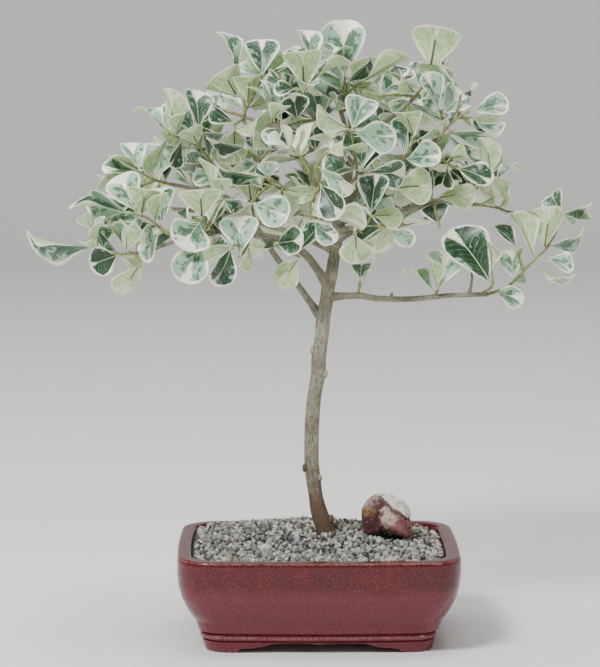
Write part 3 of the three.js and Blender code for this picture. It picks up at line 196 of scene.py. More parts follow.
# Leafy sprays, read off the picture where they have leaves and grown by rule where they have a fill.
SPRAYS: list[SprayPlan] = [
    SprayPlan("spray_low_left_tip", "low_left", 11, [
        [(150, 250), (135, 253, -28), (120, 254, -26), (97, 251, -24)],
        [(135, 253), (140, 263, -34)],
    ], [
        (94, 247, 24, 237, 20, UPPER), (98, 248, 103, 218, 6, UNDER), (96, 250, 84, 243, 10, UNDER),
        (120, 256, 88, 266, 30, UPPER), (120, 257, 138, 270, 15, UNDER),
        (118, 250, 103, 235, 12, UPPER), (126, 250, 126, 222, 20, UNDER),
        (136, 250, 135, 221, 6, UNDER), (142, 265, 123, 297, 26, UNDER),
    ]),
    SprayPlan("spray_left_edge", "low_left", 12, [
        [(180, 240), (165, 232, -34), (148, 218, -30), (130, 213, -24)],
    ], [
        (130, 212, 86, 198, 28, UPPER), (128, 216, 68, 206, 12, UPPER),
        (141, 217, 146, 189, 36, UNDER), (155, 222, 162, 195, 20, UNDER),
        (158, 232, 146, 259, 13, UPPER), (152, 224, 143, 240, 14, UPPER),
    ]),
    SprayPlan("spray_left_upper", "second_left", 13, [
        [(170, 184), (155, 180, 30), (141, 172, 24)], [(155, 180), (135, 189, 26)],
    ], [
        (134, 190, 97, 182, 20, UNDER), (140, 171, 103, 170, 15, UPPER),
        (140, 170, 110, 156, 6, UNDER), (140, 172, 127, 144, 25, UPPER),
        (166, 182, 176, 160, 14, UPPER), (160, 184, 152, 205, 16, UPPER),
    ]),
    SprayPlan("spray_upper_left_edge", "second_left", 14, [
        [(220, 197), (222, 178, 30), (212, 163, 22), (199, 147, 14), (184, 139, 8), (168, 134, 2)],
        [(199, 147), (199, 130, 10)],
    ], [
        (166, 134, 136, 107, 10, UPPER), (172, 135, 170, 87, 24, UNDER),
        (176, 135, 184, 112, 14, UNDER), (198, 128, 193, 90, 26, UPPER),
        (199, 147, 190, 129, 26, UNDER), (199, 132, 228, 135, 12, UPPER),
        (197, 150, 153, 139, 9, UPPER), (182, 142, 170, 166, 14, UPPER),
        (212, 163, 176, 165, 12, UPPER), (168, 138, 152, 177, 15, UNDER),
        (220, 178, 196, 180, 14, UPPER), (218, 180, 194, 171, 12, UNDER),
    ]),
    SprayPlan("spray_upper_left_top", "upper_left", 15, [
        [(244, 118), (245, 107, 2), (240, 80, -4)], [(244, 112), (262, 79, -8)],
        [(244, 118), (234, 125, -8)],
    ], [
        (235, 122, 207, 103, 18, UPPER), (234, 130, 260, 120, 12, UNDER),
        (236, 95, 222, 70, 34, UNDER), (236, 97, 205, 90, 10, UNDER), (242, 110, 222, 98, 10, UPPER),
        (247, 107, 252, 72, 28, UNDER), (260, 78, 262, 37, 36, UPPER), (240, 79, 219, 30, 13, UPPER),
        (264, 78, 298, 46, 8, UPPER), (249, 108, 275, 105, 20, UNDER),
    ]),
    SprayPlan("spray_centre_left", "upper_left", 16, [
        [(262, 170), (259, 160, -18), (248, 149, -22)], [(259, 160), (270, 150, -26)],
    ], [
        (256, 161, 250, 136, 13, UPPER), (258, 166, 237, 158, 16, UPPER),
        (260, 162, 268, 149, 15, UPPER), (245, 148, 208, 138, 14, UPPER),
        (270, 150, 255, 133, 16, UNDER),
    ]),
    SprayPlan("spray_centre_left_low", "upper_left", 17, [
        [(285, 190), (272, 183, -26), (264, 178, -34)],
        [(272, 183), (258, 195, -42), (251, 203, -50)], [(272, 183), (283, 187, -44)],
    ], [
        (270, 180, 268, 161, 22, UPPER), (267, 181, 256, 163, 6, UPPER),
        (262, 178, 215, 167, 14, UPPER), (263, 187, 240, 176, 12, UPPER),
        (250, 204, 290, 218, 34, UPPER), (282, 188, 315, 195, 18, UNDER),
    ]),
    SprayPlan("spray_left_front", "low_left", 18, [
        [(215, 232), (208, 226, -50), (202, 220, -60)],
        [(208, 226), (215, 212, -58), (222, 200, -62)], [(208, 226), (200, 238, -62)],
        [(202, 220), (189, 221, -58)],
    ], [
        (203, 219, 200, 185, 44, UNDER), (201, 221, 182, 246, 44, UPPER),
        (198, 240, 184, 283, 38, UPPER), (188, 222, 173, 212, 10, UPPER),
        (222, 200, 222, 179, 20, UNDER), (224, 198, 240, 200, 12, UPPER),
    ]),
    SprayPlan("spray_low_centre_left", "low_left", 19, [
        [(250, 234), (247, 246, -52), (241, 257, -66)], [(247, 246), (232, 245, -72)],
    ], [
        (242, 258, 238, 213, 40, UPPER), (231, 245, 215, 284, 26, UPPER),
        (231, 243, 207, 247, 8, UPPER), (243, 258, 228, 262, 8, UNDER),
        (249, 244, 253, 270, 13, UNDER),
    ]),
    SprayPlan("spray_low_centre", "low_left", 20, [
        [(292, 247), (286, 251, -34), (274, 244, -46)], [(286, 251), (300, 257, -36)],
    ], [
        (270, 242, 306, 240, 30, UPPER), (302, 257, 279, 283, 26, UNDER),
    ]),
    SprayPlan("spray_crown", "trunk", 21, [
        [(350, 128), (348, 110, 10), (345, 95, 4), (345, 77, 0)], [(345, 95), (362, 82, -2)],
    ], [
        (345, 76, 342, 19, 46, UPPER), (342, 92, 312, 62, 28, UPPER), (342, 96, 325, 84, 14, UPPER),
        (347, 85, 372, 55, 16, UPPER), (364, 79, 410, 57, 20, UNDER), (356, 90, 378, 84, 18, UNDER),
        (347, 108, 332, 97, 12, UNDER),
    ]),
    SprayPlan("spray_leader_front", "trunk", 22, [
        [(348, 185), (357, 174, -26), (354, 152, -40), (351, 131, -46)],
        [(357, 174), (364, 173, -44)],
    ], [
        (348, 128, 318, 108, 18, UNDER), (347, 131, 325, 125, 14, UNDER),
        (352, 127, 366, 95, 34, UPPER), (353, 130, 387, 122, 18, UPPER),
        (356, 133, 397, 136, 32, UPPER), (361, 170, 375, 147, 24, UPPER),
        (366, 175, 405, 172, 30, UPPER),
    ]),
    SprayPlan("spray_crown_left", "crown_left", 23, [
        [(302, 102), (303, 90, -32), (309, 76, -34), (314, 62, -34)],
        [(303, 90), (286, 88, -30), (278, 72, -30)],
    ], [
        (315, 60, 304, 31, 24, UPPER), (304, 88, 302, 47, 40, UNDER), (304, 98, 312, 82, 17, UNDER),
        (299, 92, 277, 93, 12, UPPER), (283, 88, 268, 72, 14, UPPER), (278, 70, 305, 58, 14, UPPER),
    ]),
    SprayPlan("spray_crown_left_low", "crown_left", 24, [
        [(317, 120), (300, 122, -34), (285, 126, -40), (270, 122, -38)],
    ], [
        (298, 121, 293, 95, 30, UPPER), (270, 122, 285, 108, 15, UNDER),
        (284, 128, 268, 141, 14, UPPER),
    ]),
    SprayPlan(
        "spray_young_shoot", "front_centre", 25, young=True,
        twigs=[
            [(330, 205), (313, 180, -62), (303, 160, -66), (293, 150, -68)],
        ],
        leaves=[
            (290, 148, 268, 141, 9, UPPER), (289, 147, 281, 125, 8, UPPER),
            (296, 150, 298, 131, 16, UPPER), (302, 153, 318, 120, 14, UPPER),
            (303, 158, 332, 140, 12, UPPER),
        ],
    ),
    SprayPlan("spray_centre_front", "front_centre", 26, [
        [(322, 192), (318, 180, -86), (315, 168, -90)],
        [(320, 186), (310, 205, -88), (311, 220, -88)], [(315, 168), (326, 152, -86)],
    ], [
        (315, 165, 354, 190, 20, UPPER), (321, 181, 343, 217, 30, UPPER),
        (315, 187, 320, 214, 16, UNDER), (311, 221, 336, 238, 20, UPPER),
        (327, 150, 345, 141, 14, UNDER),
    ]),
    SprayPlan("spray_right_front", "front_right", 27, [
        [(366, 228), (376, 226, -70), (386, 228, -76)], [(366, 228), (356, 232, -74)],
        [(366, 228), (371, 216, -70)],
    ], [
        (385, 227, 354, 224, 38, UPPER), (385, 229, 372, 255, 16, UNDER),
        (355, 233, 356, 262, 34, UNDER), (387, 231, 413, 240, 16, UPPER),
        (372, 214, 400, 214, 22, UNDER),
    ]),
    SprayPlan("spray_upper_right_mid", "upper_right", 28, [
        [(395, 165), (402, 160, -26), (408, 152, -32), (414, 138, -34)],
        [(400, 162), (396, 172, -28), (391, 188, -30)],
    ], [
        (405, 160, 441, 158, 26, UPPER), (403, 152, 408, 131, 15, UPPER),
        (390, 190, 433, 185, 38, UNDER), (416, 135, 402, 108, 26, UNDER),
    ]),
    SprayPlan("spray_top_right", "top_right", 29, [
        [(415, 97), (424, 84, -12), (430, 70, -14)], [(415, 97), (398, 94, -20), (378, 96, -24)],
    ], [
        (430, 68, 438, 25, 50, UNDER), (414, 92, 402, 75, 14, UNDER), (376, 95, 398, 82, 26, UPPER),
        (411, 100, 393, 106, 8, UPPER), (420, 88, 414, 66, 12, UPPER),
    ]),
    SprayPlan("spray_upper_right_end", "upper_right", 30, [
        [(440, 138), (445, 130, -14), (455, 120, -16), (470, 111, -16)],
        [(445, 130), (440, 110, -22)], [(455, 120), (461, 95, -14)],
    ], [
        (442, 127, 416, 100, 26, UPPER), (440, 108, 425, 72, 22, UPPER),
        (441, 115, 462, 92, 34, UPPER), (462, 92, 475, 86, 6, UPPER),
        (444, 130, 446, 116, 10, UNDER), (471, 112, 508, 105, 22, UPPER),
        (452, 133, 500, 133, 20, UPPER), (447, 134, 474, 150, 12, UPPER),
    ]),
    SprayPlan("spray_right_upper", "upper_right", 31, [
        [(420, 150), (438, 156, -22), (451, 166, -22), (472, 172, -20), (493, 177, -18)],
    ], [
        (449, 160, 452, 187, 9, UPPER), (454, 168, 492, 183, 22, UPPER),
        (492, 175, 483, 138, 20, UNDER), (450, 158, 473, 155, 20, UNDER),
        (497, 179, 520, 165, 7, UPPER),
    ]),
    SprayPlan("spray_right_mid_tip", "right_mid", 32, [
        [(472, 204), (495, 207, 2), (509, 212, 2), (530, 213, 4), (538, 210, 4)],
    ], [
        (474, 206, 454, 206, 5, UPPER), (480, 202, 500, 192, 8, UNDER),
        (500, 208, 509, 190, 9, UNDER),
    ]),
    SprayPlan("spray_right_mid_side", "right_mid", 33, [
        [(430, 206), (435, 199, -22)], [(433, 202), (440, 228, -26)],
    ], [
        (437, 197, 474, 189, 24, UNDER), (438, 231, 434, 203, 29, UPPER),
    ]),
    SprayPlan("spray_low_right_first", "right_low", 34, [
        [(358, 295.6), (359, 288, -8), (360, 281, -10)],
    ], [
        (360, 281, 362, 260, 28, UPPER),
    ]),
    SprayPlan("spray_low_right_shoot", "right_low", 35, [
        [(434, 297.5), (438, 290, -20)],
    ], [
        (433, 293, 405, 268, 9, UPPER), (439, 288, 449, 250, 38, UPPER),
        (436, 287, 428, 256, 12, UNDER),
    ]),
    SprayPlan("spray_low_right_big", "right_low", 36, [
        [(480, 294.3), (492, 286, -30), (492, 271, -34)],
    ], [
        (494, 284, 450, 228, 44, UPPER), (491, 268, 489, 238, 12, UNDER),
    ]),
    SprayPlan("spray_low_right_tip", "right_low", 37, [
        [(488, 294.2), (506, 288, -16), (523, 272, -16), (530, 264, -14), (545, 250, -12)],
        [(545, 250), (556, 232, -10), (562, 215, -8)], [(523, 272), (518, 252, -22)],
    ], [
        (494, 290, 522, 298, 22, UPPER), (512, 280, 513, 246, 27, UPPER),
        (508, 284, 525, 266, 7, UPPER), (534, 258, 512, 211, 20, UNDER),
        (543, 250, 551, 206, 34, UNDER), (547, 248, 586, 233, 18, UPPER),
        (538, 259, 572, 268, 12, UPPER), (530, 266, 575, 277, 6, UPPER),
        (516, 246, 490, 225, 16, UPPER), (560, 214, 552, 194, 24, UPPER),
        (564, 213, 587, 203, 10, UPPER), (564, 216, 587, 217, 5, UPPER),
    ]),
    back_spray("left_tip", "back_left", 51, 6, [(165, 208), (140, 202, 114), (118, 198, 110)]),
    back_spray("left_mid", "back_left", 52, 6, [(205, 212), (196, 190, 125), (186, 165, 136)]),
    back_spray("left_inner", "back_left", 53, 6, [(255, 222), (250, 200, 106), (240, 180, 124)]),
    back_spray("left_low", "back_left", 54, 6, [(250, 221), (232, 232, 110), (212, 242, 128)]),
    back_spray("right_tip", "back_right", 55, 6, [(455, 196), (468, 192, 116), (484, 184, 122)]),
    back_spray("right_mid", "back_right", 56, 6, [(412, 208), (422, 188, 112), (432, 165, 130)]),
    back_spray("right_low", "back_right", 57, 6, [(405, 210), (400, 226, 108), (390, 234, 132)]),
    back_spray("low_tip", "back_low", 58, 6, [(345, 212), (330, 200, 165), (310, 190, 182)]),
    back_spray("low_right", "back_low", 59, 6, [(336, 226), (368, 215, 132), (390, 204, 156)]),
    back_spray("low_left", "back_low", 60, 6, [(335, 222), (302, 215, 126), (276, 210, 150)]),
    back_spray("high_tip", "back_high", 61, 6, [(330, 135), (320, 120, 155), (305, 108, 165)]),
    back_spray("high_left", "back_high", 62, 6, [(338, 150), (308, 156, 124), (282, 160, 146)]),
    back_spray("high_right", "back_high", 63, 6, [(339, 153), (370, 150, 130), (396, 144, 150)]),
    back_spray("upper_left_tip", "back_upper_left", 64, 6, [(240, 115), (220, 110, 96), (204, 112, 96)]),
    back_spray("upper_left_mid", "back_upper_left", 65, 6, [(280, 130), (276, 105, 90), (272, 82, 96)]),
    back_spray("upper_right_tip", "back_upper_right", 66, 6, [(450, 118), (470, 118, 92), (484, 124, 92)]),
    back_spray("upper_right_mid", "back_upper_right", 67, 6, [(415, 122), (422, 100, 88), (428, 82, 92)]),
    back_spray("top", "back_top", 68, 6, [(330, 85), (324, 68, 68), (322, 56, 70)]),
    back_spray("top_right", "back_top", 69, 6, [(341, 112), (366, 100, 62), (390, 86, 72)]),
]

# Leaves placed by rule keep inside the canopy's outline: pixel x and y round it.
CANOPY: list[tuple[float, float]] = [
    (60, 215), (98, 168), (138, 132), (165, 98), (215, 72), (238, 46), (270, 44), (310, 46), (330, 30),
    (356, 40), (382, 56), (412, 56), (446, 46), (460, 84), (496, 104), (508, 130), (494, 150), (516, 168),
    (512, 192), (478, 206), (440, 216), (420, 236), (400, 246), (372, 264), (345, 246), (310, 240),
    (298, 262), (262, 262), (238, 268), (200, 272), (150, 258), (108, 268), (74, 236),
]

# The ways to try a leaf that was read off the picture: as first guessed, then bent nearer or further, by
# shares of the guess where under 5 and otherwise by millimetres.
LEAF_TRIES = [0, -0.5, -1, -1.6, 10, -10, 20, -20, 30, -30, 45, -45]


class Draws:
    """Seeded random numbers from 0 to 1, the same on every machine."""

    def __init__(self, seed: int) -> None:
        """Starts the series of a seed."""
        self.state = seed * 7919 + 17

    def __call__(self) -> float:
        """The next number of the series."""
        self.state = (self.state * 16807) % 2147483647
        return self.state / 2147483647

    def pick(self, least: float, span: float) -> float:
        """A number from `least` to `least` plus `span`."""
        return least + span * self()


def unit(vector: Point) -> Point:
    """The vector of length 1 with the same direction."""
    return vector / np.linalg.norm(vector)


def square_to(along: Point) -> Point:
    """A direction square to another, the same for the same input."""
    return unit(np.cross(np.array([0.31, 0.52, 0.79]), along))


@dataclass(frozen=True)
class Eye:
    """Where the tree is seen from, in mm and degrees, with a picture of width by height pixels."""

    x: float = -42
    y: float = -2370
    z: float = 554
    pitch: float = 6.66
    yaw: float = 0.62
    focal: float = 2630
    width: float = 600
    height: float = 667

    @cached_property
    def place(self) -> Point:
        """Where the eye is."""
        return np.array([self.x, self.y, self.z], float)

    @cached_property
    def axes(self) -> tuple[Point, Point, Point]:
        """The directions forward, right and up."""
        sin_p, cos_p = math.sin(math.radians(self.pitch)), math.cos(math.radians(self.pitch))
        sin_y, cos_y = math.sin(math.radians(self.yaw)), math.cos(math.radians(self.yaw))
        forward = np.array([sin_y * cos_p, cos_y * cos_p, -sin_p])
        up = np.array([sin_y * sin_p, cos_y * sin_p, cos_p])
        return forward, np.array([cos_y, -sin_y, 0.0]), up

    def sight(self, px: float, py: float, depth: float) -> Point:
        """The point at a depth on the line of sight through a pixel.

        Args:
            px: pixel from the left.
            py: pixel from the top.
            depth: the y of the point.

        Returns:
            The point in mm.
        """
        forward, right, up = self.axes
        ray = forward + right * ((px - self.width / 2) / self.focal)
        ray = ray + up * ((self.height / 2 - py) / self.focal)
        return self.place + ray * ((depth - self.y) / ray[1])

    def pixel(self, point: Point) -> tuple[float, float]:
        """The pixel that a point is seen at."""
        forward, right, up = self.axes
        offset = point - self.place
        scale = self.focal / offset.dot(forward)
        return self.width / 2 + scale * offset.dot(right), self.height / 2 - scale * offset.dot(up)


EYE = Eye()


@dataclass
class Stem:
    """A round stem along a path of points, with a radius at each."""

    path: list[Point]
    radii: list[float]

    @staticmethod
    def seen(rows: Sequence[StemRow]) -> "Stem":
        """The stem that rows of pixel x, pixel y, depth and radius describe."""
        return Stem([EYE.sight(px, py, depth) for px, py, depth, _ in rows], [row[3] for row in rows])

    def nearest(self, px: float, py: float) -> tuple[float, Point]:
        """The point of the path that is seen nearest to a pixel.

        Args:
            px: pixel from the left.
            py: pixel from the top.

        Returns:
            How many pixels away it is seen, and the point.
        """
        best = (math.inf, self.path[0])
        for start, end in zip(self.path, self.path[1:]):
            ax, ay = EYE.pixel(start)
            bx, by = EYE.pixel(end)
            span = (bx - ax) ** 2 + (by - ay) ** 2
            along = ((px - ax) * (bx - ax) + (py - ay) * (by - ay)) / span
            t = min(max(along, 0), 1)
            distance = math.hypot(ax + (bx - ax) * t - px, ay + (by - ay) * t - py)
            if distance < best[0]:
                best = (distance, start + (end - start) * t)
        return best


def nearest_root(stems: Sequence[Stem], px: float, py: float) -> Point:
    """The point of several stems that is seen nearest to a pixel."""
    found = [stem.nearest(px, py) for stem in stems]
    return min(found, key=lambda pair: pair[0])[1]


@dataclass
class Leaf:
    """How one leaf lies. Arch, cup and twist are shares of its length."""

    root: Point
    foot: Point
    tip: Point
    width: float
    normal: Point
    arch: float
    cup: float
    twist: float

    @property
    def length(self) -> float:
        """From foot to tip."""
        return float(np.linalg.norm(self.tip - self.foot))

    @property
    def axes(self) -> tuple[Point, Point]:
        """The directions along and across the blade."""
        along = unit(self.tip - self.foot)
        return along, np.cross(self.normal, along)

    def rise(self, u: np.ndarray, v: np.ndarray) -> np.ndarray:
        """How far the blade stands over its chord at shares u of its length and v of its width."""
        return self.arch * 4 * u * (1 - u) + self.cup * (2 * v) ** 2 * u + self.twist * 2 * v * (u - 0.4)

    def spot(self, u: float, v: float) -> Point:
        """The point of the blade at a share u of its length and v of its width."""
        along, across = self.axes
        lift = self.rise(u, v) * self.length
        return self.foot + along * (u * self.length) + across * (v * self.width) + self.normal * lift


@dataclass(frozen=True)
class LeafForm:
    """The proportions that leaves are placed with. Each pair is a least value and a range."""

    stalk: float = 4
    shoulder: float = 0.76
    corner: float = 0.985
    corner_width: float = 0.6
    notch: float = 0.94
    middle: float = 0.46
    full_length: float = 44
    full_ratio: float = 0.82
    margin: float = 1.45
    arch: tuple[float, float] = (0.02, 0.05)
    cup: tuple[float, float] = (0.03, 0.08)
    twist: tuple[float, float] = (-0.08, 0.16)

    def marks(self, leaf: Leaf) -> list[Point]:
        """The root, the shoulders, the corners, the notch and the middle of a leaf's blade."""
        half = self.corner_width / 2
        places = [(self.shoulder, 0.5), (self.shoulder, -0.5), (self.corner, half), (self.corner, -half)]
        places += [(self.notch, 0), (self.middle, 0)]
        return [leaf.root] + [leaf.spot(u, v) for u, v in places]


FORM = LeafForm()
ROOT, LEFT, RIGHT, LEFT_CORNER, RIGHT_CORNER, NOTCH, MIDDLE = range(7)
BLADE_EDGE = [ROOT, LEFT, LEFT_CORNER, NOTCH, RIGHT_CORNER, RIGHT]


@dataclass
class Guard:
    """The room that a leaf or a stem takes, as line segments and triangles."""

    segments: np.ndarray
    triangles: np.ndarray

    @staticmethod
    def of_leaf(leaf: Leaf) -> "Guard":
        """The room of a leaf, with its clearance over both faces."""
        p = FORM.marks(leaf)
        edges = [(a, BLADE_EDGE[(i + 1) % 6]) for i, a in enumerate(BLADE_EDGE)]
        segments = [(p[a], p[b]) for a, b in edges]
        inner = [p[a] + (p[MIDDLE] - p[a]) * 0.5 for a in BLADE_EDGE]
        rim = [a + (b - a) * t for a, b in segments for t in (0.33, 0.67)]
        segments += [(p[MIDDLE], p[a]) for a in BLADE_EDGE]
        lift = leaf.normal * FORM.margin
        segments += [(q + lift, q - lift) for q in p[1:] + inner + rim]
        return Guard(np.array(segments), np.array([(p[MIDDLE], p[a], p[b]) for a, b in edges]))

    @staticmethod
    def of_stem(stem: Stem, step: float = 4) -> "Guard":
        """The room of a stem: two ribbons that cross along it."""
        segments, triangles = [], []
        ends = list(zip(stem.path, stem.radii))
        for (a, a_radius), (b, b_radius) in zip(ends, ends[1:]):
            segments.append((a, b))
            along = unit(b - a)
            side = square_to(along)
            for wide in (side, np.cross(along, side)):
                reach = wide * (max(a_radius, b_radius) + FORM.margin / 2)
                corners = [a + reach, a - reach, b + reach, b - reach]
                triangles += [(corners[0], corners[1], corners[2]), (corners[1], corners[3], corners[2])]
                steps = math.ceil(np.linalg.norm(b - a) / step)
                for s in range(steps + 1):
                    one = corners[0] + (corners[2] - corners[0]) * (s / steps)
                    segments.append((one, corners[1] + (corners[3] - corners[1]) * (s / steps)))
        return Guard(np.array(segments), np.array(triangles))


def crossings(segments: np.ndarray, triangles: np.ndarray) -> np.ndarray:
    """Which segments go through which triangles.

    Args:
        segments: n pairs of points.
        triangles: m threes of points.

    Returns:
        An n by m array of truth values.
    """
    ray = (segments[:, 1] - segments[:, 0])[:, None]
    start = (segments[:, 0])[:, None] - triangles[None, :, 0]
    edge1 = (triangles[:, 1] - triangles[:, 0])[None]
    edge2 = (triangles[:, 2] - triangles[:, 0])[None]
    h = np.cross(ray, edge2)
    det = (edge1 * h).sum(-1)
    hit = np.abs(det) >= 1e-9
    det = np.where(hit, det, 1)
    u = (start * h).sum(-1) / det
    q = np.cross(start, edge1)
    v = (ray * q).sum(-1) / det
    t = (edge2 * q).sum(-1) / det
    return hit & (u >= 0) & (u <= 1) & (v >= 0) & (u + v <= 1) & (t >= 0) & (t <= 1)


class Occupied:
    """All the room that is taken so far, and whose it is."""

    WOOD = -1

    def __init__(self) -> None:
        """Starts with nothing taken."""
        self.segments = np.zeros((0, 2, 3))
        self.triangles = np.zeros((0, 3, 3))
        self.segment_tags = np.zeros((0, 2), int)
        self.triangle_tags = np.zeros((0, 2), int)

    def take(self, guard: Guard, owner: int, is_leaf: bool) -> None:
        """Adds the room of a stem or a leaf.

        Args:
            guard: the room.
            owner: the spray's number, or WOOD.
            is_leaf: whether it is a leaf.
        """
        tag = np.array([[owner, int(is_leaf)]])
        self.segments = np.concatenate([self.segments, guard.segments])
        self.triangles = np.concatenate([self.triangles, guard.triangles])
        self.segment_tags = np.concatenate([self.segment_tags, tag.repeat(len(guard.segments), 0)])
        self.triangle_tags = np.concatenate([self.triangle_tags, tag.repeat(len(guard.triangles), 0)])

    def meets(self, guard: Guard, owner: int) -> tuple[bool, bool]:
        """What a new leaf would cross.

        Args:
            guard: the leaf's room.
            owner: the number of its own spray.

        Returns:
            Whether it crosses wood or another spray, and whether it crosses a leaf of its own.
        """
        low, high = guard.segments.min((0, 1)), guard.segments.max((0, 1))
        tags = [np.zeros((0, 2), int)]
        for shapes, their_tags, flip in (
            (self.triangles, self.triangle_tags, False),
            (self.segments, self.segment_tags, True),
        ):
            near = (shapes.min(1) <= high).all(1) & (shapes.max(1) >= low).all(1)
            if near.any():
                pair = (shapes[near], guard.triangles) if flip else (guard.segments, shapes[near])
                tags.append(their_tags[near][crossings(*pair).any(1 if flip else 0)])
        hit = np.concatenate(tags)
        own = hit[:, 0] == owner
        return bool((~own).any()), bool((own & (hit[:, 1] == 1)).any())


@dataclass(frozen=True)
class RuleLeaf:
    """How leaves are set by rule at the back: turned on by the golden angle, face to the light."""

    length: tuple[float, float] = (36, 12)
    ratio: tuple[float, float] = (0.74, 0.16)
    stalk: float = 5
    forward: tuple[float, float] = (0.3, 0.5)
    rise: tuple[float, float] = (0.1, 0.35)
    tilt: float = 0.9
    golden_angle: float = 2.399963
    turn: float = 0.37
    tries: int = 10
    more_in_front: int = 3
    more_behind: int = 4
    away: float = 0.25


RULE = RuleLeaf()


@dataclass
class GrownSpray:
    """A spray with the stems and leaves that it has got."""

    plan: SprayPlan
    twigs: list[Stem]
    leaves: list[Leaf] = field(default_factory=list)
    seeds: list[int] = field(default_factory=list)


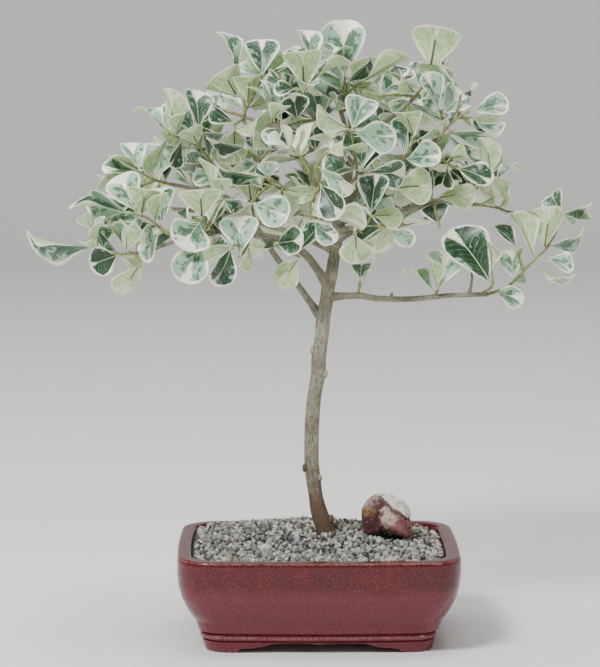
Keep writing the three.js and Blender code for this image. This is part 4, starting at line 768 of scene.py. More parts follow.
@dataclass
class Growth:
    """Lets every spray's leaves find their room, one after the other."""

    twig_start: float = 1.5
    twig_end: float = 1.1
    bare_start: float = 6
    bury: tuple[tuple[float, float, float], ...] = ((6, 52, 6.2), (5.6, 72, 8.2))
    bury_top: tuple[float, float, float] = (4.6, 12, 8.5)
    taken: Occupied = field(default_factory=Occupied)
    sprays: list[GrownSpray] = field(default_factory=list)

    def stems(self) -> dict[str, Stem]:
        """The trunk with its buried foot, and every branch."""
        stems = {"trunk": Stem.seen(TRUNK)}
        for name, rows in BRANCHES.items():
            stems[name] = Stem.seen(rows)
        trunk = stems["trunk"]
        foot = trunk.path[0]
        buried = [np.array([foot[0] + dx, foot[1], z]) for dx, z, _ in self.bury]
        dx, below, radius = self.bury_top
        buried.append(np.array([foot[0] + dx, foot[1], foot[2] - below]))
        trunk.path = buried + trunk.path
        trunk.radii = [row[2] for row in self.bury] + [radius] + trunk.radii
        return stems

    def twigs(self, plan: SprayPlan, carrier: Stem) -> list[Stem]:
        """The twigs of a spray, each rooted on its carrier or on an earlier twig."""
        made: list[Stem] = []
        for rows in plan.twigs:
            root = nearest_root(made or [carrier], rows[0][0], rows[0][1])
            path = [root] + [EYE.sight(*row) for row in rows[1:]]
            last = len(path) - 1
            slope = (self.twig_end - self.twig_start) / last
            made.append(Stem(path, [self.twig_start + slope * i for i in range(last + 1)]))
        return made

    def leafy(self, twigs: list[Stem]) -> list[Stem]:
        """The twigs without the bare start of the first, where it sits against its branch."""
        first = twigs[0]
        start, end = first.path[0], first.path[1]
        share = min(self.bare_start / np.linalg.norm(end - start), 0.9)
        return [Stem([start + (end - start) * share] + first.path[1:], first.radii)] + twigs[1:]

    def pose(self, root: Point, foot: Point, tip: Point, width: float, roll_sign: float, face: int,
             draw: Draws) -> Leaf:
        """How a blade lies, for a chord from foot to tip and a width that the eye sees.

        Args:
            root: where the stalk leaves the twig.
            foot: where the blade starts.
            tip: where it ends.
            width: the width that shows, in mm.
            roll_sign: the side that it rolls to.
            face: 1 for the upper face to the eye, -1 for the lower.
            draw: the random numbers of this leaf.

        Returns:
            The leaf.
        """
        chord = tip - foot
        length = np.linalg.norm(chord)
        along = chord / length
        view = unit(EYE.place - foot)
        square = unit(view - along * view.dot(along))
        across = np.cross(along, square)
        full = max(width, width + 0.6 * (FORM.full_ratio * length - width))
        roll = math.acos(min(1, max(width / full, 0.25)))
        visible = square * math.cos(roll) + across * (roll_sign * math.sin(roll))
        bends = [draw.pick(*FORM.arch), draw.pick(*FORM.cup), draw.pick(*FORM.twist)]
        return Leaf(root, foot, tip, full, visible * face, *bends)

    def read(self, row: LeafRow, twigs: list[Stem], draw: Draws, attempt: int) -> Leaf:
        """A leaf that was read off the picture.

        How much shorter it looks than a full one says how far its tip lies before or behind its foot.

        Args:
            row: its foot, tip, width and face as seen.
            twigs: the stems that may carry it.
            draw: the random numbers of this leaf.
            attempt: which of the ways to try.

        Returns:
            The leaf.
        """
        foot_x, foot_y, tip_x, tip_y, wide, turned = row
        face = turned.value
        root = nearest_root(twigs, foot_x, foot_y)
        foot = EYE.sight(foot_x, foot_y, root[1])
        shown = float(np.linalg.norm(EYE.sight(tip_x, tip_y, root[1]) - foot))
        scale = shown / math.hypot(tip_x - foot_x, tip_y - foot_y)
        length = shown + 0.5 * max(0, FORM.full_length - shown) * (0.6 + 0.4 * draw())
        lean = math.sqrt(max(length ** 2 - shown ** 2, 0)) + 0.12 * length
        if foot_y - tip_y > 8:
            rising = 1
        elif foot_y - tip_y < -8:
            rising = -1
        else:
            rising = 1 if draw() < 0.5 else -1
        sway = draw()
        first = face * rising * lean
        bend = LEAF_TRIES[attempt >> 1]
        depth = first * (1 + bend) if abs(bend) < 5 else first + bend
        tip = EYE.sight(tip_x, tip_y, root[1] + depth)
        if np.linalg.norm(foot - root) < FORM.stalk:
            foot = root + unit(tip - root) * FORM.stalk
        roll_sign = (1 if sway < 0.5 else -1) * (-1 if attempt % 2 else 1)
        return self.pose(root, foot, tip, wide * scale, roll_sign, face, draw)

    def ruled(self, twigs: list[Stem], place: int, total: int, draw: Draws, attempt: int,
              behind: bool = False) -> Leaf:
        """A leaf set on a twig by rule.

        Args:
            twigs: the stems that carry the leaves.
            place: the leaf's number along them.
            total: how many leaves they carry.
            draw: the random numbers of this leaf.
            attempt: how often it was turned on for want of room.
            behind: whether it has to point away from the eye.

        Returns:
            The leaf.
        """
        path = twigs[place % len(twigs)].path
        reach = (0.3 + (0.7 * (place + 0.5)) / total) * (len(path) - 1)
        i = min(math.floor(reach), len(path) - 2)
        root = path[i] + (path[i + 1] - path[i]) * min(reach - i, 0.98)
        along = unit(path[i + 1] - path[i])
        side = square_to(along)
        across = np.cross(along, side)
        angle = (place + attempt * RULE.turn) * RULE.golden_angle + draw() * 0.8
        heading = side * math.cos(angle) + across * math.sin(angle) + along * draw.pick(*RULE.forward)
        heading[2] += draw.pick(*RULE.rise)
        if behind:
            heading[1] = abs(heading[1]) + RULE.away
        heading = unit(heading)
        length = draw.pick(*RULE.length)
        foot = root + heading * RULE.stalk
        tip = foot + heading * length
        light = np.array([(draw() - 0.5) * RULE.tilt, (draw() - 0.5) * RULE.tilt, 1])
        normal = unit(light - heading * light.dot(heading))
        width = length * draw.pick(*RULE.ratio)
        bends = [draw.pick(*FORM.arch), draw.pick(*FORM.cup), draw.pick(*FORM.twist)]
        return Leaf(root, foot, tip, width, normal, *bends)

    def inside_canopy(self, leaf: Leaf) -> bool:
        """Whether the eye sees a blade's shoulders and corners inside the canopy's outline."""
        marks = FORM.marks(leaf)
        for i in (LEFT, RIGHT, LEFT_CORNER, RIGHT_CORNER):
            x, y = EYE.pixel(marks[i])
            inside = False
            for (ax, ay), (bx, by) in zip(CANOPY, CANOPY[-1:] + CANOPY[:-1]):
                if (ay > y) != (by > y) and x < (bx - ax) * (y - ay) / (by - ay) + ax:
                    inside = not inside
            if not inside:
                return False
        return True

    def settle(self, owner: int, seed: int, tries: int, make: Callable[[int], Leaf], inside: bool) -> None:
        """Keeps the first way of a leaf that has room.

        A crossing with its own spray is taken only where nothing better is found, and a leaf that finds no
        room at all stays out.

        Args:
            owner: the number of its spray.
            seed: the leaf's own seed.
            tries: how many ways there are.
            make: gives the leaf in each way.
            inside: whether it has to stay inside the canopy.
        """
        spare = None
        for attempt in range(tries):
            leaf = make(attempt)
            if inside and not self.inside_canopy(leaf):
                continue
            guard = Guard.of_leaf(leaf)
            blocked, own = self.taken.meets(guard, owner)
            if blocked or (own and spare is not None):
                continue
            spare = (leaf, guard)
            if not own:
                break
        if spare:
            self.sprays[owner].leaves.append(spare[0])
            self.sprays[owner].seeds.append(seed)
            self.taken.take(spare[1], owner, True)

    def grow(self, stems: dict[str, Stem]) -> list[GrownSpray]:
        """Grows every leaf so that no blade crosses a piece of another spray.

        First come the leaves that were read off the picture, then those placed by rule, and last some more
        that fill the crown between them.

        Args:
            stems: the trunk and the branches.

        Returns:
            Every spray with its leaves.
        """
        for stem in stems.values():
            self.taken.take(Guard.of_stem(stem), Occupied.WOOD, False)
        self.sprays = [GrownSpray(plan, self.twigs(plan, stems[plan.on])) for plan in SPRAYS]
        for owner, spray in enumerate(self.sprays):
            for twig in spray.twigs:
                self.taken.take(Guard.of_stem(twig), owner, False)
        for owner, spray in enumerate(self.sprays):
            leafy = self.leafy(spray.twigs)
            for i, row in enumerate(spray.plan.leaves):
                seed = spray.plan.seed * 100 + i
                self.settle(owner, seed, 2 * len(LEAF_TRIES),
                            lambda attempt: self.read(row, leafy, Draws(seed), attempt), False)
        for owner, spray in enumerate(self.sprays):
            self.rule_leaves(owner, spray.plan.fill, 50, False)
        for owner, spray in enumerate(self.sprays):
            if not spray.plan.young:
                front = spray.plan.fill == 0
                self.rule_leaves(owner, RULE.more_in_front if front else RULE.more_behind, 80, front)
        return self.sprays

    def rule_leaves(self, owner: int, total: int, first_seed: int, behind: bool) -> None:
        """Gives a spray some leaves by rule.

        Args:
            owner: the spray's number.
            total: how many.
            first_seed: what the first leaf's seed ends in.
            behind: whether they have to point away from the eye.
        """
        spray = self.sprays[owner]
        for place in range(total):
            seed = spray.plan.seed * 100 + first_seed + place
            self.settle(owner, seed, RULE.tries,
                        lambda attempt: self.ruled(spray.twigs, place, total, Draws(seed + attempt * 7),
                                                   attempt, behind), True)


Value = Union["Wire", float, tuple]


class Wire:
    """A value in a node tree, which is reckoned with like a number."""

    def __init__(self, graph: "Graph", socket: bpy.types.NodeSocket) -> None:
        """Takes a socket of the graph's tree."""
        self.graph = graph
        self.socket = socket

    def __add__(self, other: Value) -> "Wire":
        """The sum."""
        return self.graph.math("ADD", self, other)

    def __sub__(self, other: Value) -> "Wire":
        """The difference."""
        return self.graph.math("SUBTRACT", self, other)

    def __rsub__(self, other: Value) -> "Wire":
        """A number less this value."""
        return self.graph.math("SUBTRACT", other, self)

    def __mul__(self, other: Value) -> "Wire":
        """The product."""
        return self.graph.math("MULTIPLY", self, other)

    def __truediv__(self, other: Value) -> "Wire":
        """The quotient."""
        return self.graph.math("DIVIDE", self, other)

    def __rtruediv__(self, other: Value) -> "Wire":
        """A number divided by this value."""
        return self.graph.math("DIVIDE", other, self)

    def __abs__(self) -> "Wire":
        """The value without its sign."""
        return self.graph.math("ABSOLUTE", self)


class Graph:
    """Adds nodes to a tree and joins them, from left to right."""

    def __init__(self, tree: bpy.types.NodeTree) -> None:
        """Starts on a tree."""
        self.tree = tree

    def node(self, kind: str, inputs: Optional[dict] = None, **settings) -> bpy.types.Node:
        """Adds a node.

        Args:
            kind: its type.
            inputs: values or wires, by input name or number.
            settings: its properties.

        Returns:
            The node.
        """
        made = self.tree.nodes.new(kind)
        for name, value in settings.items():
            setattr(made, name, value)
        for key, value in (inputs or {}).items():
            if isinstance(value, Wire):
                self.tree.links.new(value.socket, made.inputs[key])
            else:
                made.inputs[key].default_value = value
        return made

    def out(self, kind: str, inputs: Optional[dict] = None, output: Union[int, str] = 0, **settings) -> Wire:
        """Adds a node and gives one of its outputs, by name or number."""
        return Wire(self, self.node(kind, inputs, **settings).outputs[output])

    def math(self, operation: str, *values: Value) -> Wire:
        """An operation on numbers."""
        return self.out("ShaderNodeMath", dict(enumerate(values)), operation=operation)

    def vector(self, operation: str, *values: Value) -> Wire:
        """An operation on vectors that gives a vector."""
        return self.out("ShaderNodeVectorMath", dict(enumerate(values)), operation=operation)

    def scaled(self, vector: Value, factor: Value) -> Wire:
        """A vector times a number."""
        return self.out("ShaderNodeVectorMath", {0: vector, "Scale": factor}, operation="SCALE")

    def fade(self, value: Value, low: float, high: float) -> Wire:
        """A smooth step: 0 up to `low`, 1 from `high`, or falling where `low` is the higher."""
        inputs = {"Value": value, "From Min": min(low, high), "From Max": max(low, high)}
        if low > high:
            inputs.update({"To Min": 1.0, "To Max": 0.0})
        return self.out("ShaderNodeMapRange", inputs, interpolation_type="SMOOTHSTEP")

    def noise(self, vector: Value, scale: float, detail: float = 2.0, roughness: float = 0.5) -> Wire:
        """A soft noise from 0 to 1 over places."""
        inputs = {"Vector": vector, "Scale": scale, "Detail": detail, "Roughness": roughness}
        return self.out("ShaderNodeTexNoise", inputs)

    def split(self, vector: Value) -> tuple[Wire, ...]:
        """The three numbers of a vector."""
        outputs = self.node("ShaderNodeSeparateXYZ", {0: vector}).outputs
        return tuple(Wire(self, output) for output in outputs)

    def join(self, x: Value, y: Value, z: Value) -> Wire:
        """A vector of three numbers."""
        return self.out("ShaderNodeCombineXYZ", {0: x, 1: y, 2: z})


def colour(code: str) -> tuple[float, float, float, float]:
    """The linear colour of a six figure web code."""
    parts = [int(code[i:i + 2], 16) / 255 for i in (1, 3, 5)]
    linear = [p / 12.92 if p <= 0.04045 else ((p + 0.055) / 1.055) ** 2.4 for p in parts]
    return (*linear, 1.0)


class Paint(Graph):
    """A material's node tree, with its surface shader at the end."""

    def __init__(self, name: str) -> None:
        """Starts a material with an empty tree."""
        self.material = bpy.data.materials.new(name)
        self.material.use_nodes = True
        super().__init__(self.material.node_tree)
        self.tree.nodes.clear()
        self.place = self.out("ShaderNodeTexCoord", output="Object")

    def value(self, name: str, output: str = "Fac") -> Wire:
        """A number, or with the output "Vector" a vector, that the mesh carries."""
        return self.out("ShaderNodeAttribute", output=output, attribute_name=name)

    def dice(self, seed: Value) -> Wire:
        """A random number from 0 to 1 for each seed."""
        return self.out("ShaderNodeTexWhiteNoise", {"W": seed}, noise_dimensions="1D")

    def mix(self, factor: Value, first: Union[Wire, str], second: Union[Wire, str]) -> Wire:
        """A colour between two others, each a wire or a web code."""
        ends = [colour(end) if isinstance(end, str) else end for end in (first, second)]
        return self.out("ShaderNodeMix", {0: factor, 6: ends[0], 7: ends[1]}, 2, data_type="RGBA")

    def spot(self, x: Wire, y: Wire, drift: Wire, middle: tuple[float, float],
             reach: tuple[float, float]) -> Wire:
        """A soft oval patch.

        Args:
            x: the place across.
            y: the place upwards.
            drift: what frays its edge.
            middle: its middle.
            reach: half its lengths.

        Returns:
            1 inside the patch, 0 outside.
        """
        across = self.math("POWER", abs((x - middle[0]) / reach[0]), 2.0)
        upward = self.math("POWER", abs((y - middle[1]) / reach[1]), 2.0)
        return self.fade(across + upward + drift, 1.5, 0.3)

    def bump(self, height: Value, strength: float, depth: float) -> Wire:
        """A normal that follows a height, in metres of depth."""
        return self.out("ShaderNodeBump", {"Height": height, "Strength": strength, "Distance": depth})

    def finish(self, **inputs) -> bpy.types.Material:
        """Ends the tree with the surface shader.

        Args:
            inputs: the shader's inputs, with spaces in their names written as underscores.

        Returns:
            The material.
        """
        named = {name.replace("_", " "): value for name, value in inputs.items()}
        self.node("ShaderNodeOutputMaterial", {"Surface": self.out("ShaderNodeBsdfPrincipled", named)})
        return self.material


def linked(name: str, data: Optional[bpy.types.ID]) -> bpy.types.Object:
    """A new object in the scene."""
    made = bpy.data.objects.new(name, data)
    bpy.context.scene.collection.objects.link(made)
    return made


def evaluated(holder: bpy.types.Object) -> bpy.types.Mesh:
    """The mesh of an object with its modifiers applied."""
    graph = bpy.context.evaluated_depsgraph_get()
    return bpy.data.meshes.new_from_object(
        holder.evaluated_get(graph), preserve_all_data_layers=True, depsgraph=graph
    )


def joined(meshes: Sequence[bpy.types.Mesh]) -> bpy.types.Mesh:
    """One mesh out of several, with their materials and attributes kept."""
    holders = [linked("part", mesh) for mesh in meshes]
    with bpy.context.temp_override(active_object=holders[0], selected_editable_objects=holders):
        bpy.ops.object.join()
    made = holders[0].data
    bpy.data.objects.remove(holders[0], do_unlink=True)
    return made


def ball(subdivisions: int, radius: float = 1) -> tuple[np.ndarray, list[list[int]]]:
    """The points and the faces of a ball of near equal triangles."""
    form = bmesh.new()
    bmesh.ops.create_icosphere(form, subdivisions=subdivisions, radius=radius)
    points = np.array([vert.co for vert in form.verts])
    faces = [[vert.index for vert in face.verts] for face in form.faces]
    form.free()
    return points, faces


class MeshParts:
    """Parts of one mesh in mm, with the numbers that their points carry."""

    def __init__(self) -> None:
        """Starts empty."""
        self.points: list[np.ndarray] = []
        self.edges: list[tuple[int, int]] = []
        self.faces: list[tuple[int, ...]] = []
        self.values: dict[str, list[np.ndarray]] = {}
        self.spots: list[np.ndarray] = []
        self.count = 0

    def add(self, points: np.ndarray, faces: Sequence[Sequence[int]] = (),
            edges: Sequence[tuple[int, int]] = (), spots: Optional[np.ndarray] = None, **values) -> None:
        """Adds a part.

        Args:
            points: its points.
            faces: its faces, by point number.
            edges: its loose edges, by point number.
            spots: a place on the material's chart for each point.
            values: named numbers, one for each point or one for all.
        """
        base = self.count
        self.points.append(points)
        self.faces += [tuple(int(i) + base for i in face) for face in faces]
        self.edges += [(a + base, b + base) for a, b in edges]
        if spots is not None:
            self.spots.append(spots)
        for name, value in values.items():
            self.values.setdefault(name, []).append(np.broadcast_to(value, (len(points),)))
        self.count += len(points)

    def add_stem(self, path: np.ndarray, radii: Union[np.ndarray, float]) -> None:
        """Adds the middle line of a stem, which carries its radii in metres as `girth`."""
        self.add(path, edges=[(i, i + 1) for i in range(len(path) - 1)], girth=radii * MM)

    def mesh(self, name: str, shift: Point, material: Optional[bpy.types.Material] = None) -> bpy.types.Mesh:
        """The mesh in metres, moved to its place in the frame.

        Args:
            name: its name.
            shift: where the pot's middle stands in the frame, in mm.
            material: its material, if it gets one here.

        Returns:
            The mesh.
        """
        made = bpy.data.meshes.new(name)
        points = (np.concatenate(self.points) + shift) * MM
        made.from_pydata(points.tolist(), self.edges, self.faces)
        for key, arrays in self.values.items():
            layer = made.attributes.new(key, "FLOAT", "POINT")
            layer.data.foreach_set("value", np.concatenate(arrays).astype(np.float32))
        if self.spots:
            corners = np.zeros(len(made.loops), np.int32)
            made.loops.foreach_get("vertex_index", corners)
            chart = made.uv_layers.new(name="UVMap")
            chart.data.foreach_set("uv", np.concatenate(self.spots)[corners].astype(np.float32).ravel())
        made.update()
        if material is not None:
            made.materials.append(material)
        return made


def loft(rings: Sequence[np.ndarray]) -> tuple[np.ndarray, list[tuple[int, ...]]]:
    """A closed skin through rings of equal length, with a fan over the first and the last.

    Args:
        rings: closed loops of points, anticlockwise seen from the side that the last one faces.

    Returns:
        The points and the faces.
    """
    count = len(rings[0])
    points = np.concatenate([*rings, [rings[0].mean(0), rings[-1].mean(0)]])
    faces = []
    for r in range(len(rings) - 1):
        for i in range(count):
            a, b = r * count + i, r * count + (i + 1) % count
            faces.append((a, b, b + count, a + count))
    first = len(rings) * count
    top = first - count
    for i in range(count):
        j = (i + 1) % count
        faces += [(j, i, first), (top + i, top + j, first + 1)]
    return points, faces


def smooth_path(points: np.ndarray, radii: np.ndarray, step: float) -> tuple[np.ndarray, np.ndarray]:
    """A rounder and finer path through the points of another.

    Args:
        points: the path.
        radii: a radius at each point.
        step: the length of the new stretches, in mm.

    Returns:
        The new points and radii.
    """
    chords = np.linalg.norm(np.diff(points, axis=0), axis=1)
    reach = np.concatenate([[0], np.cumsum(chords)])
    rows = np.column_stack([points, radii])
    slopes = np.empty_like(rows)
    slopes[1:-1] = (rows[2:] - rows[:-2]) / (reach[2:] - reach[:-2])[:, None]
    slopes[0] = (rows[1] - rows[0]) / chords[0]
    slopes[-1] = (rows[-1] - rows[-2]) / chords[-1]
    made = [rows[:1]]
    for i, chord in enumerate(chords):
        t = np.linspace(0, 1, max(2, math.ceil(chord / step) + 1))[1:, None]
        start = (2 * t ** 3 - 3 * t ** 2 + 1) * rows[i] + (t ** 3 - 2 * t ** 2 + t) * chord * slopes[i]
        end = (3 * t ** 2 - 2 * t ** 3) * rows[i + 1] + (t ** 3 - t ** 2) * chord * slopes[i + 1]
        made.append(start + end)
    fine = np.concatenate(made)
    return fine[:, :3], fine[:, 3]


class Growing(Graph):
    """A geometry node tree with named inputs, which is run once over a mesh."""

    def __init__(self, name: str) -> None:
        """Starts a tree that takes a mesh."""
        super().__init__(bpy.data.node_groups.new(name, "GeometryNodeTree"))
        for way in ("INPUT", "OUTPUT"):
            self.tree.interface.new_socket("Geometry", in_out=way, socket_type="NodeSocketGeometry")
        self.start = self.tree.nodes.new("NodeGroupInput")
        self.source = Wire(self, self.start.outputs[0])

    def input(self, name: str, kind: str) -> Wire:
        """Adds a named input and gives its wire."""
        self.tree.interface.new_socket(name, in_out="INPUT", socket_type="NodeSocket" + kind)
        return Wire(self, self.start.outputs[name])

    def place(self) -> Wire:
        """Where each point is."""
        return self.out("GeometryNodeInputPosition")

    def named(self, name: str, kind: str = "FLOAT") -> Wire:
        """A value that the points carry."""
        return self.out("GeometryNodeInputNamedAttribute", {"Name": name}, data_type=kind)

    def random(self, least: Value, most: Value, seed: Value) -> Wire:
        """A random number or vector for each point, between two ends."""
        kind, first, output = ("FLOAT_VECTOR", 0, 0) if isinstance(least, tuple) else ("FLOAT", 2, 1)
        inputs = {first: least, first + 1: most, "Seed": seed}
        return self.out("FunctionNodeRandomValue", inputs, output, data_type=kind)

    def store(self, geometry: Wire, name: str, value: Wire, kind: str = "FLOAT",
              domain: str = "POINT") -> Wire:
        """Writes a value on the points and gives the geometry."""
        inputs = {"Geometry": geometry, "Name": name, "Value": value}
        return self.out("GeometryNodeStoreNamedAttribute", inputs, data_type=kind, domain=domain)

    def moved(self, geometry: Wire, offset: Wire) -> Wire:
        """The geometry with its points moved."""
        return self.out("GeometryNodeSetPosition", {"Geometry": geometry, "Offset": offset})

    def swollen(self, geometry: Wire, height: Wire) -> Wire:
        """The geometry with its points moved along their normals."""
        return self.moved(geometry, self.scaled(self.out("GeometryNodeInputNormal"), height))

    def end(self, geometry: Wire, material: Wire) -> "Growing":
        """Makes instances real, gives them the material and ends the tree."""
        real = self.out("GeometryNodeRealizeInstances", {"Geometry": geometry})
        painted = self.out("GeometryNodeSetMaterial", {"Geometry": real, "Material": material})
        self.node("NodeGroupOutput", {0: painted})
        return self

    def run(self, mesh: bpy.types.Mesh, **inputs) -> bpy.types.Mesh:
        """Runs the tree over a mesh.

        Args:
            mesh: what it grows from.
            inputs: values for its named inputs.

        Returns:
            The plain mesh that it makes.
        """
        holder = linked("source", mesh)
        modifier = holder.modifiers.new("growing", "NODES")
        modifier.node_group = self.tree
        for item in self.tree.interface.items_tree:
            if item.name in inputs:
                modifier[item.identifier] = inputs[item.name]
        made = evaluated(holder)
        bpy.data.objects.remove(holder)
        return made


def add_piece(name: str, mesh: bpy.types.Mesh, slot: str, *nodes: str) -> bpy.types.Object:
    """Adds a finished piece that stands for solids of the frame.

    Args:
        name: its name.
        mesh: its mesh, in place.
        slot: a material slot's name; not used.
        nodes: the solids that it stands for.

    Returns:
        The object.
    """
    mesh.name = name
    piece = linked(name, mesh)
    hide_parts(*nodes)
    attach(piece, "root")
    log.info("%s: %d faces", name, len(mesh.polygons))
    return piece


@dataclass(frozen=True)
class LeafFinish:
    """A thick leaf: green lobes beside a pale rib that forks, a cream margin, a cream wedge at its end."""

    dark: str = "#1a3f26"
    green: str = "#4b7357"
    grey_green: str = "#9fc2aa"
    cream: str = "#fbfbe6"
    rib: str = "#d5e6bd"
    under: str = "#cfe2b6"
    under_dark: str = "#aecb8c"
    under_cream: str = "#f6f8da"
    under_rib: str = "#4f4a26"
    young: str = "#ffffee"
    young_green: str = "#d3e3b4"
    roughness: float = 0.36
    coat: float = 0.3
    veins: float = 9.0
    # Leaves whose tone is under this share are made darker at random: partly their own dark green, partly
    # painted shade for leaves in the crown's shadow.
    bright_share: float = 0.6

    def material(self) -> bpy.types.Material:
        """The leaf material, drawn on the blade's chart."""
        p = Paint("leaf")
        chart_x, t, _ = p.split(p.out("ShaderNodeTexCoord", output="UV"))
        signed = chart_x * 2.0 - 1.0
        a = abs(signed)
        tone, side, pale = p.value("leaf_tone"), p.value("leaf_side"), p.value("leaf_pale")
        own = tone * 83.0 + p.math("GREATER_THAN", signed, 0.0) * 19.0
        vein = t - a * 0.3
        step = p.dice(p.math("FLOOR", vein * self.veins) + own)
        spread = p.join(signed, t * 1.4, own)
        jag = step * 0.6 + p.noise(spread, 9.0, 3.0) * 0.8

        from_edge = p.math("MINIMUM", 1.0 - a, (1.0 - t) * 1.1)
        on_margin = p.fade(jag * 0.07 + 0.02 - from_edge, -0.012, 0.02)
        fork = tone * 0.25 + 0.42
        past = p.math("MAXIMUM", t - fork, 0.0)
        wedge = past * jag * (p.dice(tone * 271.0) * 2.2)
        on_cream = p.math("MAXIMUM", on_margin, p.fade(wedge - a, -0.02, 0.03))

        shade = p.noise(spread, 4.0, 4.0, 0.6)
        # Painted shade in part: low-tone leaves, picked at random, get less pale grey-green and more dark
        # green, for shaded leaves as well as their own darker colour.
        deep = (self.bright_share - tone) * 0.35
        core = p.fade(shade - a * 0.3 + step * 0.2 - deep, 0.30, 0.40)
        inner = p.mix(p.fade(shade + deep, 0.42, 0.6), self.dark, self.green)
        upper = p.mix(on_cream, p.mix(core, self.grey_green, inner), self.cream)
        reach = a * t
        before = p.math("LESS_THAN", t, fork)
        arms = (1.0 - before) * p.fade(abs(reach - past * 0.55), 0.022, 0.006)
        on_rib = p.math("MAXIMUM", before * p.fade(reach, 0.03, 0.008), arms * 0.7)
        upper = p.mix(on_rib * 0.8, upper, self.rib)

        below = p.mix(p.fade(shade, 0.4, 0.6), self.under_dark, self.under)
        below = p.mix(on_cream * 0.85, below, self.under_cream)
        keel = before * p.fade(reach, 0.045, 0.015)
        below = p.mix(p.math("MAXIMUM", keel, on_rib * 0.6), below, self.under_rib)
        tender = p.mix((1.0 - on_cream) * 0.55, self.young, self.young_green)
        blade = p.mix(pale, p.mix(side, below, upper), tender)
        furrow = abs(p.math("FRACT", vein * self.veins) - 0.5)
        on_vein = p.fade(furrow, 0.42, 0.5) * p.fade(a, 0.85, 0.6)
        blade = p.mix(on_vein * 0.22, blade, self.rib)
        relief = p.noise(spread, 12.0, 3.0) * 0.8 + (on_rib * -0.8 + on_vein * -0.5)
        return p.finish(
            Base_Color=blade, Roughness=self.roughness, Coat_Weight=self.coat, Coat_Roughness=0.3,
            Subsurface_Weight=0.18, Subsurface_Radius=(0.6, 1.0, 0.3), Subsurface_Scale=0.0012,
            Normal=p.bump(relief, 0.5, 0.0006),
        )


@dataclass(frozen=True)
class BarkFinish:
    """Grey bark with long fine fissures, browner towards the ground."""

    grey: str = "#8e8a76"
    light: str = "#b3ae98"
    dark: str = "#4c4436"
    brown: str = "#583a26"
    brown_below: float = 0.135
    brown_above: float = 0.175

    def material(self) -> bpy.types.Material:
        """The bark, stretched along each stem."""
        p = Paint("bark")
        ring_x, ring_y, _ = p.split(p.value("ring", "Vector"))
        height = p.split(p.place)[2]
        long_way = p.join(ring_x * 3.0, ring_y * 3.0, p.value("along") * 60.0)
        patch = p.noise(p.place, 55.0, 4.0, 0.6)
        crack = p.noise(long_way, 2.2, 6.0, 0.7)
        dots = p.fade(p.noise(p.place, 520.0, 3.0), 0.56, 0.66)
        base = p.mix(p.fade(patch, 0.38, 0.66), self.grey, self.light)
        base = p.mix(p.fade(crack, 0.5, 0.38) * 0.9, base, self.dark)
        base = p.mix(dots * 0.55, base, self.dark)
        low = p.fade(height + patch * 0.03, self.brown_above, self.brown_below)
        base = p.mix(low * 0.85, base, self.brown)
        return p.finish(Base_Color=base, Roughness=0.8, Normal=p.bump(crack + patch * 0.5, 1.0, 0.0014))


@dataclass(frozen=True)
class TwigFinish:
    """Young wood: brown, and green where it is thinnest."""

    brown: str = "#7c6a4c"
    green: str = "#8a9a5c"
    stalk: str = "#b9c284"

    def material(self) -> bpy.types.Material:
        """The skin of twigs and leaf stalks."""
        p = Paint("twig")
        girth = p.value("girth")
        mottle = p.noise(p.place, 260.0, 3.0)
        base = p.mix(p.fade(mottle, 0.4, 0.6), self.brown, self.green)
        base = p.mix(p.fade(girth, 0.00095, 0.0007), base, self.stalk)
        return p.finish(Base_Color=base, Roughness=0.6, Normal=p.bump(mottle, 0.4, 0.0005))


@dataclass(frozen=True)
class GlazeFinish:
    """An oxblood glaze with pale specks painted as tiny glints, paler on worn edges, with a painted pinkish
    sheen down the belly that stands for a reflection.
    """

    red: str = "#580710"
    deep: str = "#440810"
    # The colour of the painted sheen, a reflection painted into the lower belly.
    sheen_rose: str = "#692632"
    # Pale specks, painted as tiny glints of the glaze.
    glint_speckle: str = "#b3666f"
    worn: str = "#9c7468"
    half_length: float = 0.125
    half_depth: float = 0.0995
    # The painted sheen is full below `base` and gone above `band`, under the dark band below the rim.
    band: float = 0.066
    base: float = 0.052
    roughness: float = 0.26

    def material(self, middle: Point) -> bpy.types.Material:
        """The glaze.

        Args:
            middle: the middle of the pot's foot in the frame, in metres.

        Returns:
            The material.
        """
        p = Paint("glaze")
        across, deepness, height = p.split(p.vector("SUBTRACT", p.place, tuple(middle)))
        cloud = p.noise(p.place, 26.0, 4.0, 0.6)
        # Painted reflection: the pinkish sheen on the lower belly, fading out towards the corners.
        level = height + (cloud - 0.5) * 0.014
        towards_corner = abs(across) / self.half_length * (abs(deepness) / self.half_depth)
        sheen_rose = p.fade(level, self.band, self.base) * p.fade(towards_corner, 0.90, 0.82)
        fleck = p.noise(p.place, 1300.0, 2.0, 0.6)
        body = p.mix(p.fade(cloud, 0.3, 0.7), self.deep, self.red)
        body = p.mix(sheen_rose * 0.85, body, self.sheen_rose)
        # Painted glints: pale specks strewn over the glaze, before the dark flecks.
        body = p.mix(p.fade(fleck, 0.58, 0.7) * 0.5, body, self.glint_speckle)
        body = p.mix(p.fade(fleck, 0.42, 0.34) * 0.5, body, self.deep)
        wear = p.value("edge") * p.fade(p.noise(p.place, 420.0, 4.0), 0.3, 0.7)
        body = p.mix(wear * 0.75, body, self.worn)
        return p.finish(
            Base_Color=body, Roughness=self.roughness, Specular_IOR_Level=0.3, Coat_Weight=0.25,
            Coat_Roughness=0.1, Normal=p.bump(fleck, 0.1, 0.0003),
        )


